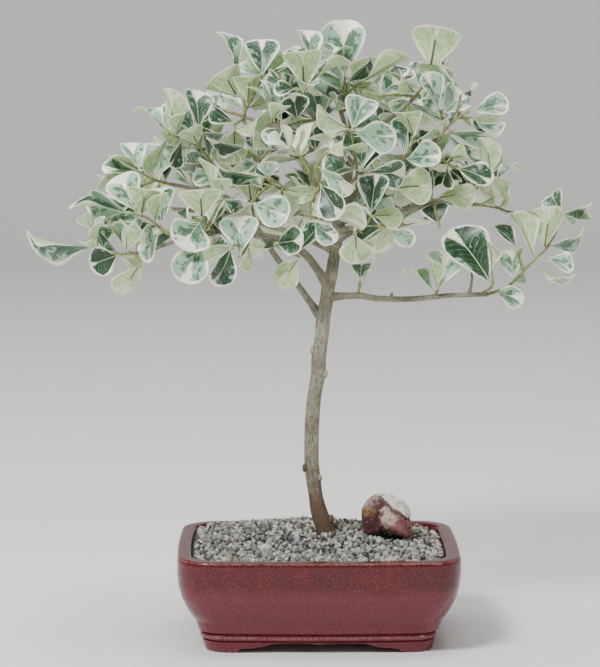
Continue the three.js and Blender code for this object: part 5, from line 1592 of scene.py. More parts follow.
@dataclass(frozen=True)
class GritFinish:
    """Crushed stone of many greys, each granule with its own."""

    darkest: str = "#494844"
    grey: str = "#8c8b83"
    light: str = "#c8c5ba"
    pink: str = "#b39a8d"
    blue: str = "#b4bfd2"
    # The bed's colour, painted dark as the shade in the gaps between the granules.
    bed: str = "#3a3b35"

    def material(self) -> bpy.types.Material:
        """The granules."""
        p = Paint("grit")
        tone = p.value("grain_tone")
        spot = p.noise(p.place, 520.0, 3.0, 0.6)
        base = p.mix(p.fade(tone, 0.0, 0.35), self.darkest, self.grey)
        base = p.mix(p.fade(tone, 0.5, 0.9), base, self.light)
        base = p.mix(p.fade(tone, 0.975, 0.98), base, self.pink)
        base = p.mix(p.fade(tone, 1.4, 1.6), base, self.blue)
        base = p.mix(p.fade(spot, 0.5, 0.7) * 0.4, base, self.darkest)
        return p.finish(Base_Color=base, Roughness=0.85, Normal=p.bump(spot, 0.6, 0.0007))

    def shade_bed_material(self) -> bpy.types.Material:
        """The grit deeper down, painted dark as the shade in the gaps between the granules."""
        p = Paint("grit_shade_bed")
        crumb = p.noise(p.place, 380.0, 3.0)
        base = p.mix(p.fade(crumb, 0.4, 0.65), self.bed, self.darkest)
        return p.finish(Base_Color=base, Roughness=0.95, Normal=p.bump(crumb, 0.8, 0.0015))


@dataclass(frozen=True)
class StoneFinish:
    """A banded rock: maroon, pink brown, and cream where its top is weathered."""

    maroon: str = "#4f2a2c"
    pink: str = "#a4706c"
    dusty: str = "#c3a59c"
    cream: str = "#ecd3bf"
    white: str = "#f2efe6"
    grey: str = "#47444a"
    ochre: str = "#94703c"

    def material(self, middle: Point, size: Point) -> bpy.types.Material:
        """The rock's colours, laid over its own box.

        Args:
            middle: the rock's middle in the frame, in metres.
            size: half its lengths, in metres.

        Returns:
            The material.
        """
        p = Paint("stone")
        local = p.vector("DIVIDE", p.vector("SUBTRACT", p.place, tuple(middle)), tuple(size))
        x, _, z = p.split(local)
        grain = p.noise(p.place, 420.0, 4.0, 0.65)
        drift = (p.noise(local, 1.9, 5.0, 0.64) - 0.5) * 1.5
        base = p.mix(p.fade(x + drift, -0.3, 0.1), self.maroon, self.pink)
        base = p.mix(p.fade(z - x * 0.9 + drift, 0.85, 1.1) * 0.7, base, self.dusty)
        fray = (p.noise(local, 6.0, 6.0, 0.8) - 0.5) * 6.0
        base = p.mix(p.spot(x, z, fray, (-0.72, 0.24), (0.3, 0.2)) * 0.55, base, self.ochre)
        base = p.mix(p.spot(x, z, fray, (0.04, 0.0), (0.3, 0.44)) * 0.85, base, self.cream)
        slope = z + x * 0.8 + drift * 0.5
        seam = p.fade(abs(slope - 0.47), 0.1, 0.04) * p.fade(x, -0.4, -0.15)
        base = p.mix(seam * 0.85, base, self.grey)
        base = p.mix(p.fade(slope, 0.55, 0.66), base, self.white)
        base = p.mix(p.fade(z, -0.6, -0.95) * 0.6, base, self.maroon)
        mottle = p.noise(p.place, 170.0, 5.0, 0.7)
        base = p.mix(p.fade(mottle, 0.5, 0.36) * 0.6, base, self.maroon)
        base = p.mix(p.fade(mottle, 0.54, 0.68) * 0.4, base, self.dusty)
        base = p.mix(p.fade(grain, 0.46, 0.32) * 0.4, base, self.maroon)
        return p.finish(Base_Color=base, Roughness=0.85, Normal=p.bump(grain, 0.8, 0.0016))


@dataclass(frozen=True)
class PlainFinish:
    """One colour with a fine grain."""

    name: str
    shade: str
    roughness: float
    grain: float = 0.0

    def material(self) -> bpy.types.Material:
        """The material."""
        p = Paint(self.name)
        relief = p.bump(p.noise(p.place, 300.0, 3.0), self.grain, 0.001)
        return p.finish(Base_Color=colour(self.shade), Roughness=self.roughness, Normal=relief)


@dataclass(frozen=True)
class PotForm:
    """The pot: plan, profiles and feet in mm. Insets are measured inwards from the plan of the rim."""

    length: float = 250
    depth: float = 199
    corner: float = 28
    sharpening: float = 0.45
    bow_front: float = 5
    bow_end: float = 3
    outside: tuple[tuple[float, float], ...] = (
        (0, 24.5), (10, 21.6), (11, 22.7), (12.2, 20.5), (14.4, 19.6), (16.6, 20.4), (17.5, 21.4),
        (18.8, 18.6), (28, 15.6), (34, 11.4), (41, 7.6), (50, 3.6), (60, 1.2), (72, 0), (83, 0.2),
        (85.3, 0.9), (86, 2.4),
    )
    inside: tuple[tuple[float, float], ...] = (
        (86, 11.0), (85.6, 11.9), (84.6, 12.8), (76, 13.4), (54, 14), (35, 20), (23, 27), (19, 34),
    )
    arch_front: tuple[tuple[float, float], ...] = (
        (0, 7.9), (4, 8.7), (12, 9.4), (38, 9.1), (43, 8.2), (48.6, 6), (57, 4.4), (70, 3.3), (74, 0),
    )
    arch_end: tuple[tuple[float, float], ...] = (
        (0, 9.3), (24, 9), (29, 8.2), (34, 6), (41, 4.4), (48, 3.3), (51, 0),
    )
    foot_top: float = 10.5
    lip: float = 1.0
    drain_x: float = 55
    drain_radius: float = 9
    arc_steps: int = 12
    long_steps: int = 56
    short_steps: int = 40

    @cached_property
    def directions(self) -> np.ndarray:
        """For each point of a plan ring, its share of the corner's middle and its arc's cosine and sine."""
        signs = [(1, -1), (1, 1), (-1, 1), (-1, -1)]
        rows = []
        for c in range(4):
            for i in range(self.arc_steps + 1):
                angle = (c - 1 + i / self.arc_steps) * math.pi / 2
                rows.append((*signs[c], math.cos(angle), math.sin(angle)))
            steps = self.short_steps if c % 2 == 0 else self.long_steps
            after = signs[(c + 1) % 4]
            angle = c * math.pi / 2
            for i in range(1, steps):
                t = i / steps
                sx = signs[c][0] * (1 - t) + after[0] * t
                sy = signs[c][1] * (1 - t) + after[1] * t
                rows.append((sx, sy, math.cos(angle), math.sin(angle)))
        return np.array(rows)

    def ring(self, inset, z) -> np.ndarray:
        """A loop of points round the plan.

        Args:
            inset: how far in from the rim, one number or one for each point.
            z: the height, one number or one for each point.

        Returns:
            The points.
        """
        half_x, half_y = self.length / 2 - inset, self.depth / 2 - inset
        corner = self.corner - inset * self.sharpening
        sx, sy, cos, sin = self.directions.T
        x = sx * (half_x - corner) + corner * cos
        y = sy * (half_y - corner) + corner * sin
        bow_x = self.bow_end * np.sign(x) * np.maximum(0, 1 - (y / half_y) ** 2)
        bow_y = self.bow_front * np.sign(y) * np.maximum(0, 1 - (x / half_x) ** 2)
        return np.column_stack([x + bow_x, y + bow_y, np.broadcast_to(z, x.shape)])

    def under(self, x: np.ndarray, y: np.ndarray) -> np.ndarray:
        """How far the underside stands off the ground: 0 under the feet, more in the gaps between."""
        front = np.interp(np.abs(x), *np.array(self.arch_front).T, right=0)
        end = np.interp(np.abs(y), *np.array(self.arch_end).T, right=0)
        return np.maximum(front, end)


POT = PotForm()
SHARP_FROM = math.radians(50)


@dataclass(frozen=True)
class Mound:
    """The heap of grit: highest behind the stem, a little lower at the right."""

    level: float = 84.5
    rise: float = 9.5
    peak_x: float = -15
    peak_y: float = 45
    spread_x: float = 80
    spread_y: float = 60
    dip_right: float = 3
    floor: float = 70.3
    wall: float = 13.7
    bed_depth: float = 2.2
    clear: float = 1.2
    cell: float = 2.5

    def height(self, x: np.ndarray, y: np.ndarray) -> np.ndarray:
        """The height of the heap over places in the pot."""
        spread = ((x - self.peak_x) / self.spread_x) ** 2 + ((y - self.peak_y) / self.spread_y) ** 2
        right = np.clip((x - 60) / 50, 0, 1)
        return self.level + self.rise * np.exp(-spread) - self.dip_right * right


MOUND = Mound()


@dataclass(frozen=True)
class Rock:
    """The stone that lies in the grit: its middle and its lengths in mm."""

    x: float = 64
    y: float = 18
    z: float = 107
    width: float = 51
    depth: float = 36
    height: float = 46
    subdivisions: int = 6

    @property
    def middle(self) -> Point:
        """Its middle."""
        return np.array([self.x, self.y, self.z], float)

    @property
    def half(self) -> Point:
        """Half its lengths."""
        return np.array([self.width, self.depth, self.height]) / 2


@dataclass
class Pot:
    """The glazed pot: one skin from under the feet over the rim down to its floor, with two drain holes."""

    shift: Point
    finish: GlazeFinish = GlazeFinish()
    rim_top: tuple[tuple[float, float], ...] = ((86, 4.5), (86, 8.5))
    worn_edges: tuple[tuple[float, float], ...] = ((14.4, 1.0), (85.2, 0.8), (0, 0.8))
    drill_length: float = 60

    def outer_rows(self) -> list[tuple[float, float]]:
        """The outside profile, made rounder: height and inset from the feet to the rim's outer edge."""
        rows = np.array(POT.outside)
        fine, _ = smooth_path(np.column_stack([rows, np.zeros(len(rows))]), np.zeros(len(rows)), 0.9)
        return [(z, inset) for z, inset, _ in fine if z > 0.02]

    def skin(self) -> tuple[list[np.ndarray], list[float]]:
        """The rings from the middle of the underside to the middle of the floor, with their edge wear."""
        heights, insets = np.array(POT.outside).T
        sole = POT.ring(POT.outside[0][1] + POT.lip, 0.0)
        rings = []
        for share in np.linspace(0.06, 1, 15):
            ring = sole * [share, share, 0]
            ring[:, 2] = POT.under(ring[:, 0], ring[:, 1])
            rings.append(ring)
        wear = [0.0] * len(rings)
        low = rings[-1][:, 2]
        for z, _ in self.outer_rows():
            height = np.full(len(low), z)
            if z < POT.foot_top:
                height = low + z * (POT.foot_top - low) / POT.foot_top
            over = np.clip((height - low) / POT.lip, 0, 1)
            tuck = POT.lip * (1 - np.sqrt(1 - (1 - over) ** 2))
            rings.append(POT.ring(np.interp(height, heights, insets) + tuck, height))
            wear.append(min(1.0, sum(math.exp(-((z - at) / reach) ** 2) for at, reach in self.worn_edges)))
        rings += [POT.ring(inset, z) for z, inset in self.rim_top + POT.inside]
        floor = rings[-1]
        rings += [floor * [share, share, 1] for share in (0.7, 0.35, 0.06)]
        wear += [0.0] * (len(rings) - len(wear))
        return rings, wear

    def add(self) -> bpy.types.Object:
        """Adds the pot."""
        rings, wear = self.skin()
        points, faces = loft(rings)
        edge = np.concatenate([np.repeat(wear, len(rings[0])), [0.0, 0.0]])
        parts = MeshParts()
        parts.add(points, faces, edge=edge)
        mesh = self.drilled(parts.mesh("pot", self.shift))
        mesh.materials.append(self.finish.material(self.shift * MM))
        mesh.shade_smooth()
        mesh.set_sharp_from_angle(angle=SHARP_FROM)
        return add_piece("glazed_pot", mesh, "glaze", "pot")

    def drilled(self, mesh: bpy.types.Mesh) -> bpy.types.Mesh:
        """The pot's mesh with its drain holes cut through the floor."""
        holder = linked("undrilled", mesh)
        radius = POT.drain_radius * MM
        drills = []
        for side in (-1, 1):
            drill = bpy.data.meshes.new("drill")
            form = bmesh.new()
            bmesh.ops.create_cone(form, cap_ends=True, segments=40, radius1=radius, radius2=radius,
                                  depth=self.drill_length * MM)
            place = (self.shift + [side * POT.drain_x, 0, 0]) * MM
            bmesh.ops.translate(form, vec=place, verts=form.verts)
            form.to_mesh(drill)
            form.free()
            drills.append(linked("drill", drill))
            cut = holder.modifiers.new("drain", "BOOLEAN")
            cut.operation, cut.solver, cut.object = "DIFFERENCE", "EXACT", drills[-1]
        made = evaluated(holder)
        for tool in drills + [holder]:
            bpy.data.objects.remove(tool)
        return made


@dataclass(frozen=True)
class Pebble:
    """A pebble in the grit: its place, how far it stands out, half its lengths in mm, and its tone."""

    x: float
    y: float
    proud: float
    half: tuple[float, float, float]
    tone: float


@dataclass
class GritBed:
    """The grit: a bed painted dark as the shade between the granules, and loose granules over all that shows
    of it.
    """

    shift: Point
    stem: Point
    rock: Rock
    finish: GritFinish = GritFinish()
    granule: float = 5.0
    spacing: float = 3.7
    stem_clearance: float = 8.5
    under_rock: float = 0.6
    sunk: float = 0.8
    seed: int = 7
    pebbles: tuple[Pebble, ...] = (
        Pebble(-18.8, -12.0, 2.0, (2.9, 4.0, 7.2), 2.0),
        Pebble(-48.0, -36.0, 1.0, (6.8, 4.4, 3.6), 0.92),
    )

    def bed(self) -> bpy.types.Mesh:
        """The closed bed under the granules."""
        wall = POT.ring(MOUND.wall, 0.0)
        rings = [wall * [share, share, 0] + [0, 0, MOUND.floor] for share in (0.06, 0.5, 1)]
        for share in np.linspace(1, 0.04, 24):
            ring = wall * [share, share, 0]
            ring[:, 2] = MOUND.height(ring[:, 0], ring[:, 1]) - MOUND.bed_depth
            rings.append(ring)
        parts = MeshParts()
        parts.add(*loft(rings))
        # The bed's material is painted dark, as shade between the granules.
        mesh = parts.mesh("grit_shade_bed", self.shift, self.finish.shade_bed_material())
        mesh.shade_smooth()
        return mesh

    def surface(self) -> bpy.types.Mesh:
        """The open surface that the granules lie on, left out round the stem and the stone."""
        outline = POT.ring(MOUND.wall + MOUND.clear, 0.0)[:, :2]
        half_x, half_y = outline.max(0)
        xs = np.arange(-half_x, half_x, MOUND.cell)
        ys = np.arange(-half_y, half_y, MOUND.cell)
        angles = np.arctan2(outline[:, 1], outline[:, 0])
        order = np.argsort(angles)
        reach = np.linalg.norm(outline, axis=1)[order]
        grid_x, grid_y = np.meshgrid(xs, ys)
        points = np.column_stack([grid_x.ravel(), grid_y.ravel()])
        limit = np.interp(np.arctan2(points[:, 1], points[:, 0]), angles[order], reach, period=2 * math.pi)
        free = np.linalg.norm(points, axis=1) < limit
        free &= np.linalg.norm(points - self.stem[:2], axis=1) > self.stem_clearance
        spread = (points - self.rock.middle[:2]) / (self.rock.half[:2] * self.under_rock)
        free &= np.linalg.norm(spread, axis=1) > 1
        width = len(xs)
        faces = []
        for r in range(len(ys) - 1):
            for c in range(width - 1):
                a = r * width + c
                quad = (a, a + 1, a + width + 1, a + width)
                if all(free[i] for i in quad):
                    faces.append(quad)
        height = MOUND.height(points[:, 0], points[:, 1])
        parts = MeshParts()
        parts.add(np.column_stack([points, height - self.sunk]), faces)
        return parts.mesh("grit_surface", self.shift)

    def scatter(self) -> Growing:
        """The tree that strews granules over a surface, each a crumb of its own shape."""
        g = Growing("strewn_granules")
        size, spacing = g.input("Granule", "Float"), g.input("Spacing", "Float")
        seed, material = g.input("Seed", "Int"), g.input("Material", "Material")
        most = 1.0 / (spacing * spacing) * 3.0
        inputs = {"Mesh": g.source, "Distance Min": spacing, "Density Max": most, "Seed": seed}
        strewn = g.out("GeometryNodeDistributePointsOnFaces", inputs, "Points", distribute_method="POISSON")
        lifted = g.moved(strewn, g.join(0.0, 0.0, g.random(-0.28, 0.22, seed) * size))
        crumb = g.out("GeometryNodeMeshIcoSphere", {"Radius": 0.5, "Subdivisions": 1})
        turn = g.random((0, 0, 0), (6.283, 6.283, 6.283), 11)
        shape = g.random((0.7, 0.6, 0.55), (1.35, 1.15, 1.0), 12)
        scale = g.scaled(shape, g.random(0.75, 1.25, 13) * size)
        inputs = {"Points": lifted, "Instance": crumb, "Rotation": turn, "Scale": scale}
        placed = g.out("GeometryNodeInstanceOnPoints", inputs)
        toned = g.store(placed, "grain_tone", g.random(0.0, 1.0, 14), domain="INSTANCE")
        real = g.out("GeometryNodeRealizeInstances", {"Geometry": toned})
        knock = g.out("ShaderNodeTexNoise", {"Vector": g.place(), "Scale": 420.0, "Detail": 1.0}, "Color")
        away = g.vector("SUBTRACT", knock, (0.5, 0.5, 0.5))
        return g.end(g.moved(real, g.scaled(away, size * 0.7)), material)

    def pebble_mesh(self, material: bpy.types.Material) -> bpy.types.Mesh:
        """The few larger pebbles, rounder than the granules."""
        form, faces = ball(3)
        dents = 1 + 0.07 * np.sin(4 * form[:, 0] + 1) + 0.06 * np.sin(5 * form[:, 1] + 3 * form[:, 2])
        parts = MeshParts()
        for pebble in self.pebbles:
            level = float(MOUND.height(np.array(pebble.x), np.array(pebble.y)))
            middle = np.array([pebble.x, pebble.y, level + pebble.proud])
            parts.add(middle + form * dents[:, None] * pebble.half, faces, grain_tone=pebble.tone)
        mesh = parts.mesh("pebbles", self.shift, material)
        mesh.shade_smooth()
        return mesh

    def add(self) -> list[bpy.types.Object]:
        """Adds the bed and the granules."""
        # The bed is painted dark, as shade between the granules.
        bed = add_piece("grit_shade_bed", self.bed(), "grit", "grit")
        crumbs = self.finish.material()
        granules = self.scatter().run(
            self.surface(), Granule=self.granule * MM, Spacing=self.spacing * MM, Seed=self.seed,
            Material=crumbs,
        )
        loose = joined([granules, self.pebble_mesh(crumbs)])
        return [bed, add_piece("grit_granules", loose, "grit", "grit")]


@dataclass
class Stone:
    """The rock: an angular lump, notched underneath, with chipped faces."""

    shift: Point
    rock: Rock
    finish: StoneFinish = StoneFinish()
    outline: tuple[tuple[float, float], ...] = (
        (0.82, -0.18), (0.88, 0.24), (0.71, 0.46), (0.5, 0.63), (0.25, 0.74), (0.0, 0.93), (-0.25, 1.0),
        (-0.44, 0.95), (-0.62, 0.68), (-0.9, 0.3), (-0.98, -0.2), (-1.0, -0.5), (-0.86, -0.82),
        (-0.5, -0.87), (-0.25, -0.7), (0.07, -0.66), (0.36, -0.84), (0.72, -1.0), (0.97, -0.93),
        (0.9, -0.53),
    )
    boxiness: float = 2.2
    chips: int = 34
    chip_flatness: float = 0.95
    relief: float = 2.4
    seed: int = 5

    def form(self, directions: np.ndarray) -> np.ndarray:
        """The lump for directions from its middle, as shares of its half lengths."""
        x, y, z = directions.T
        corners = np.array(self.outline)
        angles = np.arctan2(corners[:, 1], corners[:, 0])
        reach = np.interp(np.arctan2(z, x), angles, np.linalg.norm(corners, axis=1), period=2 * math.pi)
        shoulder = (1 - np.abs(y) ** self.boxiness) ** (1 / self.boxiness)
        shoulder = shoulder / np.maximum(np.hypot(x, z), 1e-6)
        lumps = 1 + 0.05 * np.sin(3.1 * x + 4.3 * z + 5.2 * y) + 0.04 * np.sin(7.3 * z + 6.9 * y + 0.6)
        return np.column_stack([x * reach * shoulder, y * lumps, z * reach * shoulder])

    def add(self) -> bpy.types.Object:
        """Adds the stone."""
        directions, faces = ball(self.rock.subdivisions)
        directions /= np.linalg.norm(directions, axis=1)[:, None]
        points = self.form(directions)
        draw = Draws(self.seed)
        for _ in range(self.chips):
            facing = unit(np.array([draw() - 0.5, draw() - 0.5, draw() - 0.35]))
            depth = points @ facing
            cut = depth.max() * draw.pick(0.88, 0.1)
            points -= facing * (np.maximum(depth - cut, 0) * self.chip_flatness)[:, None]
        parts = MeshParts()
        parts.add(self.rock.middle + points * self.rock.half, faces)
        material = self.finish.material((self.rock.middle + self.shift) * MM, self.rock.half * MM)
        mesh = parts.mesh("stone", self.shift)
        mesh = self.roughened().run(mesh, Depth=self.relief * MM, Material=material)
        mesh.shade_smooth()
        return add_piece("rock", mesh, "stone", "stone")

    def roughened(self) -> Growing:
        """The tree that gives the rock its pits and ridges."""
        g = Growing("rough_rock")
        depth, material = g.input("Depth", "Float"), g.input("Material", "Material")
        place = g.place()
        pits = g.noise(place, 170.0, 6.0, 0.68)
        ridges = g.noise(place, 70.0, 3.0)
        return g.end(g.swollen(g.source, (pits + ridges - 1.1) * depth), material)


def stem_growing() -> Growing:
    """The tree that skins stems along their paths, with rough bark.

    It takes loose edges whose points carry `girth`, the radius in metres. The skin carries `along`, the
    length from the root, and `ring`, the place round the stem.

    Returns:
        The tree.
    """
    g = Growing("woody_stem")
    sides, rough = g.input("Sides", "Int"), g.input("Roughness", "Float")
    grain, material = g.input("Grain", "Float"), g.input("Material", "Material")
    curve = g.out("GeometryNodeMeshToCurve", {"Mesh": g.source})
    curve = g.store(curve, "along", g.out("GeometryNodeSplineParameter", output="Length"))
    circle = g.out("GeometryNodeCurvePrimitiveCircle", {"Resolution": sides, "Radius": 1.0})
    circle = g.store(circle, "ring", g.place(), "FLOAT_VECTOR")
    girth = g.named("girth")
    inputs = {"Curve": curve, "Profile Curve": circle, "Scale": girth, "Fill Caps": True}
    skin = g.out("GeometryNodeCurveToMesh", inputs)
    ring_x, ring_y, _ = g.split(g.named("ring", "FLOAT_VECTOR"))
    swell = g.noise(g.join(ring_x * 1.2, ring_y * 1.2, g.named("along") * grain), 1.0, 4.0, 0.6)
    skin = g.swollen(skin, (swell - 0.5) * rough * girth)
    return g.end(g.out("GeometryNodeSetShadeSmooth", {"Geometry": skin}), material)


@dataclass
class Trunk:
    """The trunk with its branches and pruning knobs, one piece of wood."""

    shift: Point
    stems: dict[str, Stem]
    growing: Growing
    finish: BarkFinish = BarkFinish()
    trunk_sides: int = 32
    branch_sides: int = 14
    step: float = 2.5
    flare: float = 0.45
    flare_reach: float = 9.0
    scar: tuple[float, float, float] = (0.82, 0.95, 1.3)
    roughness: float = 0.16
    grain: float = 55.0

    def wood(self, names: Sequence[str], sides: int, material: bpy.types.Material) -> bpy.types.Mesh:
        """Skins some of the stems.

        Args:
            names: which.
            sides: how many sides they get.
            material: the bark.

        Returns:
            Their mesh.
        """
        parts = MeshParts()
        for name in names:
            stem = self.stems[name]
            path, radii = smooth_path(np.array(stem.path), np.array(stem.radii, float), self.step)
            if name != "trunk":
                out = np.linalg.norm(path - path[0], axis=1)
                radii = radii * (1 + self.flare * np.exp(-(out / self.flare_reach) ** 2))
            parts.add_stem(path, radii)
        return self.growing.run(parts.mesh("stems", self.shift), Sides=sides, Roughness=self.roughness,
                                Grain=self.grain, Material=material)

    def knobs(self, material: bpy.types.Material) -> bpy.types.Mesh:
        """The scars of pruned branches: low round swellings."""
        parts = MeshParts()
        for px, py, depth, radius in KNOBS:
            form, faces = ball(3, radius)
            x, y, z = form.T
            wrinkles = 1 + 0.12 * np.sin(3.1 * z + 2.3 * x) + 0.06 * np.sin(5.7 * y)
            scar = form * wrinkles[:, None] * self.scar
            parts.add(EYE.sight(px, py, depth) + scar, faces, along=py * MM)
        mesh = parts.mesh("knobs", self.shift, material)
        mesh.shade_smooth()
        return mesh

    def add(self) -> bpy.types.Object:
        """Adds the wood."""
        material = self.finish.material()
        branches = [name for name in self.stems if name != "trunk"]
        meshes = [self.wood(["trunk"], self.trunk_sides, material)]
        meshes += [self.wood(branches, self.branch_sides, material), self.knobs(material)]
        return add_piece("wood", joined(meshes), "bark", "trunk")


@dataclass
class Sprays:
    """All the leafy sprays: twigs, leaf stalks and blades."""

    shift: Point
    low: Point
    high: Point
    growing: Growing
    leaf: LeafFinish = LeafFinish()
    twig: TwigFinish = TwigFinish()
    columns: tuple[float, ...] = (-1, -0.86, -0.7, -0.46, -0.2, -0.05, 0.05, 0.2, 0.46, 0.7, 0.86, 1)
    rows: int = 10
    thick_middle: float = 0.46
    thick_edge: float = 0.22
    corner_from: float = 0.16
    corner_to: float = 0.66
    rib_height: float = 0.22
    rib_width: float = 0.09
    furrow: float = 0.3
    stalk_radius: float = 0.62
    stalk_bend: float = 0.4
    stalk_overlap: float = 0.8
    sides: int = 8
    step: float = 3.0
    roughness: float = 0.3
    grain: float = 240.0
    slack: float = 2.5

    def skin_faces(self, wide: int, high: int) -> list[tuple[int, ...]]:
        """The faces of a blade: its upper side, its underside and the edge between them.

        Args:
            wide: how many points it has across.
            high: how many rows of them.

        Returns:
            The faces, with the underside's points numbered after the upper side's.
        """
        under = wide * high
        faces = []
        for r in range(high - 1):
            for c in range(wide - 1):
                a = r * wide + c
                faces.append((a, a + wide, a + wide + 1, a + 1))
                faces.append((a + under, a + 1 + under, a + wide + 1 + under, a + wide + under))
        rim = list(range(wide))
        rim += [r * wide + wide - 1 for r in range(1, high)]
        rim += [under - 1 - c for c in range(1, wide)]
        rim += [r * wide for r in range(high - 2, 0, -1)]
        for i, a in enumerate(rim):
            b = rim[(i + 1) % len(rim)]
            faces.append((a, b, b + under, a + under))
        return faces

    def blade(self, leaf: Leaf, seed: int) -> dict:
        """The points, faces and chart of one blade.

        Args:
            leaf: how it lies.
            seed: where its random draws start.

        Returns:
            What MeshParts takes, without the numbers that all points share.
        """
        draw = Draws(seed * 31 + 7)
        curve, keel = draw.pick(0.12, 0.4), draw.pick(1.1, 0.9)
        notch, wave = draw.pick(0.0, 0.03), draw.pick(0.025, 0.045)
        beats, phase = draw.pick(0.8, 1.2), draw.pick(0, 6.28)
        fold, curl = draw.pick(0.05, 0.15), draw.pick(-0.08, 0.28)
        s = np.sin(np.array(self.columns) * math.pi / 2)
        t = np.linspace(0, 1, self.rows + 1) ** 0.9
        grid_s, grid_t = np.meshgrid(s, t)
        wide = (1 - curve) * np.sin(math.pi * grid_t / 2) + curve * grid_t ** 2 * (3 - 2 * grid_t)
        v = 0.5 * grid_s * (0.04 + 0.96 * wide)
        beyond = np.clip((np.abs(grid_s) - self.corner_from) / (1 - self.corner_from), 0, 1)
        tip = self.corner_to + (FORM.corner - self.corner_to) * np.sqrt(1 - beyond ** 2)
        inner = np.clip(1 - (grid_s / self.corner_from) ** 2, 0, 1)
        tip = tip - notch * inner ** 2
        u = grid_t * tip
        side = np.abs(2 * v)
        rise = leaf.arch * 4 * u * (1 - u) + leaf.cup * side ** keel * u + leaf.twist * 2 * v * (u - 0.4)
        rise += wave * side ** 2 * np.sin(beats * 6.28 * u + phase + 2 * np.sign(v))
        rise += fold * side ** 1.2 * np.sin(math.pi * u) - curl * np.clip((u - 0.45) / 0.55, 0, 1) ** 2
        along, across = leaf.axes
        middle = leaf.foot + along * (u * leaf.length)[..., None] + across * (v * leaf.width)[..., None]
        middle = middle + leaf.normal * (rise * leaf.length)[..., None]
        normal = np.cross(np.gradient(middle, axis=1), np.gradient(middle, axis=0))
        normal /= np.linalg.norm(normal, axis=-1)[..., None]
        if (normal @ leaf.normal).mean() < 0:
            normal = -normal
        half = (self.thick_edge + (self.thick_middle - self.thick_edge) * (1 - np.abs(grid_s) ** 3)) / 2
        rib = self.rib_height * np.exp(-(grid_s / self.rib_width) ** 2) * (1 - 0.8 * grid_t)
        upper = middle + normal * (half - rib * self.furrow)[..., None]
        lower = middle - normal * (half + rib)[..., None]
        faces = self.skin_faces(len(s), len(t))
        if np.cross(across, leaf.normal).dot(along) < 0:
            faces = [face[::-1] for face in faces]
        chart = np.column_stack([0.5 + 0.5 * grid_s.ravel(), grid_t.ravel()])
        under = len(s) * len(t)
        return {
            "points": np.concatenate([upper.reshape(-1, 3), lower.reshape(-1, 3)]),
            "faces": faces,
            "spots": np.concatenate([chart, chart]),
            "leaf_side": np.concatenate([np.ones(under), np.zeros(under)]),
        }

    def back_in(self, points: np.ndarray) -> Point:
        """How far a blade has to move to lie inside the solids' box."""
        return np.maximum(self.low - points.min(0), 0) - np.maximum(points.max(0) - self.high, 0)

    def add(self, sprays: Sequence[GrownSpray]) -> list[bpy.types.Object]:
        """Adds every spray."""
        green, brown = self.leaf.material(), self.twig.material()
        pieces = []
        for spray in sprays:
            name = spray.plan.name
            blades, sticks = MeshParts(), MeshParts()
            for twig in spray.twigs:
                sticks.add_stem(*smooth_path(np.array(twig.path), np.array(twig.radii, float), self.step))
            for leaf, seed in zip(spray.leaves, spray.seeds):
                tone = Draws(seed * 13 + 5)()
                pale = 1.0 if spray.plan.young else 0.0
                blade = self.blade(leaf, seed)
                back = self.back_in(blade["points"])
                if np.abs(back).max() > self.slack:
                    continue
                blade["points"] = blade["points"] + back
                blades.add(**blade, leaf_tone=tone, leaf_pale=pale)
                bend = (leaf.root + leaf.foot) / 2 - leaf.normal * self.stalk_bend
                stalk = np.array([leaf.root, bend, leaf.foot + leaf.axes[0] * self.stalk_overlap])
                sticks.add_stem(stalk, self.stalk_radius)
            wood = self.growing.run(sticks.mesh(name + "_sticks", self.shift), Sides=self.sides,
                                    Roughness=self.roughness, Grain=self.grain, Material=brown)
            mesh = blades.mesh(name + "_blades", self.shift, green)
            mesh.shade_smooth()
            mesh.set_sharp_from_angle(angle=SHARP_FROM)
            slot = "young_leaf" if spray.plan.young else "leaf"
            pieces.append(add_piece(name + "_leafy", joined([mesh, wood]), slot, name))
        return pieces


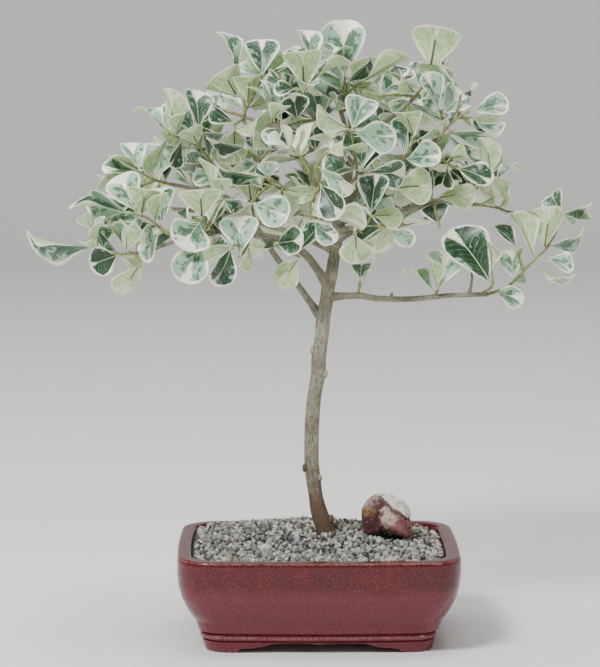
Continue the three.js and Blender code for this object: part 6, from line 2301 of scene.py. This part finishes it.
@dataclass
class Studio:
    """The pale floor, the soft lights and the camera at the photograph's viewing angle."""

    shift: Point
    floor: PlainFinish = PlainFinish("floor", "#efeeeb", 0.9)
    sensor: float = 36.0
    sky: str = "#eef1f4"
    daylight: float = 0.17
    aim: float = 0.3
    wall_radius: float = 5.0
    wall_height: float = 1.7
    bend: float = 1.3
    wall_steps: int = 96

    def light(self, name: str, place: tuple[float, float, float], size: float, power: float) -> None:
        """Adds a soft square light that shines at the plant.

        Args:
            name: its name.
            place: where it hangs, in metres from the plant's foot.
            size: the length of its side.
            power: its strength in watts.
        """
        lamp = bpy.data.lights.new(name, "AREA")
        lamp.size, lamp.energy = size, power
        made = linked(name, lamp)
        made.location = place
        made.rotation_euler = lamp_turn(np.array([0, 0, self.aim]) - np.array(place))

    def add(self) -> None:
        """Adds everything round the plant."""
        linked("floor", self.sweep())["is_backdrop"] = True
        world = bpy.data.worlds.new("studio")
        world.use_nodes = True
        background = world.node_tree.nodes["Background"]
        background.inputs["Color"].default_value = colour(self.sky)
        background.inputs["Strength"].default_value = self.daylight
        bpy.context.scene.world = world
        self.light("ceiling", (0.0, 0.6, 4.2), 3.0, 150.0)
        self.light("key", (-1.0, -1.35, 1.95), 0.6, 60.0)
        self.light("window", (1.6, -1.6, 1.3), 0.5, 9.0)
        self.camera()

    def sweep(self) -> bpy.types.Mesh:
        """The floor, which curves up into a low round wall far behind the plant on all sides."""
        turn = np.linspace(0, math.pi / 2, 13)
        bend = self.wall_radius - self.bend
        profile = [(0.01, 0.0), (bend * 0.5, 0.0)]
        profile += [(bend + self.bend * math.sin(a), self.bend * (1 - math.cos(a))) for a in turn]
        profile += [(self.wall_radius, self.wall_height)]
        around = np.linspace(0, 2 * math.pi, self.wall_steps, endpoint=False)
        rings = [[(r * math.cos(a), r * math.sin(a), z) for a in around] for r, z in profile]
        count = len(around)
        faces = [tuple(range(count))]
        for r in range(len(rings) - 1):
            for i in range(count):
                j = (i + 1) % count
                faces.append((r * count + i, (r + 1) * count + i, (r + 1) * count + j, r * count + j))
        mesh = bpy.data.meshes.new("floor")
        mesh.from_pydata([point for ring in rings for point in ring], [], faces)
        mesh.shade_smooth()
        mesh.materials.append(self.floor.material())
        return mesh

    def camera(self) -> None:
        """Sets the camera where the photograph was taken from."""
        eye = bpy.data.cameras.new("eye")
        eye.sensor_width, eye.sensor_fit = self.sensor, "HORIZONTAL"
        eye.lens = EYE.focal / EYE.width * self.sensor
        eye.clip_end = 50
        made = linked("eye", eye)
        made.location = (EYE.place + self.shift) * MM
        made.rotation_euler = (math.radians(90 - EYE.pitch), 0, math.radians(-EYE.yaw))
        bpy.context.scene.camera = made


def lamp_turn(aim: np.ndarray) -> tuple[float, float, float]:
    """The turn that points a lamp along a direction."""
    flat = math.hypot(aim[0], aim[1])
    return (math.atan2(flat, -aim[2]), 0.0, math.atan2(-aim[0], aim[1]))


def main() -> None:
    """Builds the plant around the frame."""
    logging.basicConfig(level=logging.INFO, format="%(name)s: %(message)s")
    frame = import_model()
    solid_low, solid_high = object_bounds()
    low, high = (np.array(corner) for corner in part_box("pot"))
    shift = (low + high) / 2 / MM * [1, 1, 0]
    growth = Growth()
    stems = growth.stems()
    growing = stem_growing()
    rock = Rock()
    Pot(shift).add()
    GritBed(shift, stems["trunk"].path[3], rock).add()
    Stone(shift, rock).add()
    Trunk(shift, stems, growing).add()
    inside_low = np.array(solid_low) / MM - shift + BOX_CLEARANCE
    inside_high = np.array(solid_high) / MM - shift - BOX_CLEARANCE
    Sprays(shift, inside_low, inside_high, growing).add(growth.grow(stems))
    for name, finish in (
        ("soil", PlainFinish("soil", "#3a2c20", 0.95, 0.8)),
        ("drain_screen_left", PlainFinish("screen", "#1d1d1d", 0.5)),
        ("drain_screen_right", PlainFinish("screen", "#1d1d1d", 0.5)),
    ):
        node = frame["nodes"][name]
        node.data.materials.clear()
        node.data.materials.append(finish.material())
    Studio(shift).add()


if __name__ == "__main__":
    main()
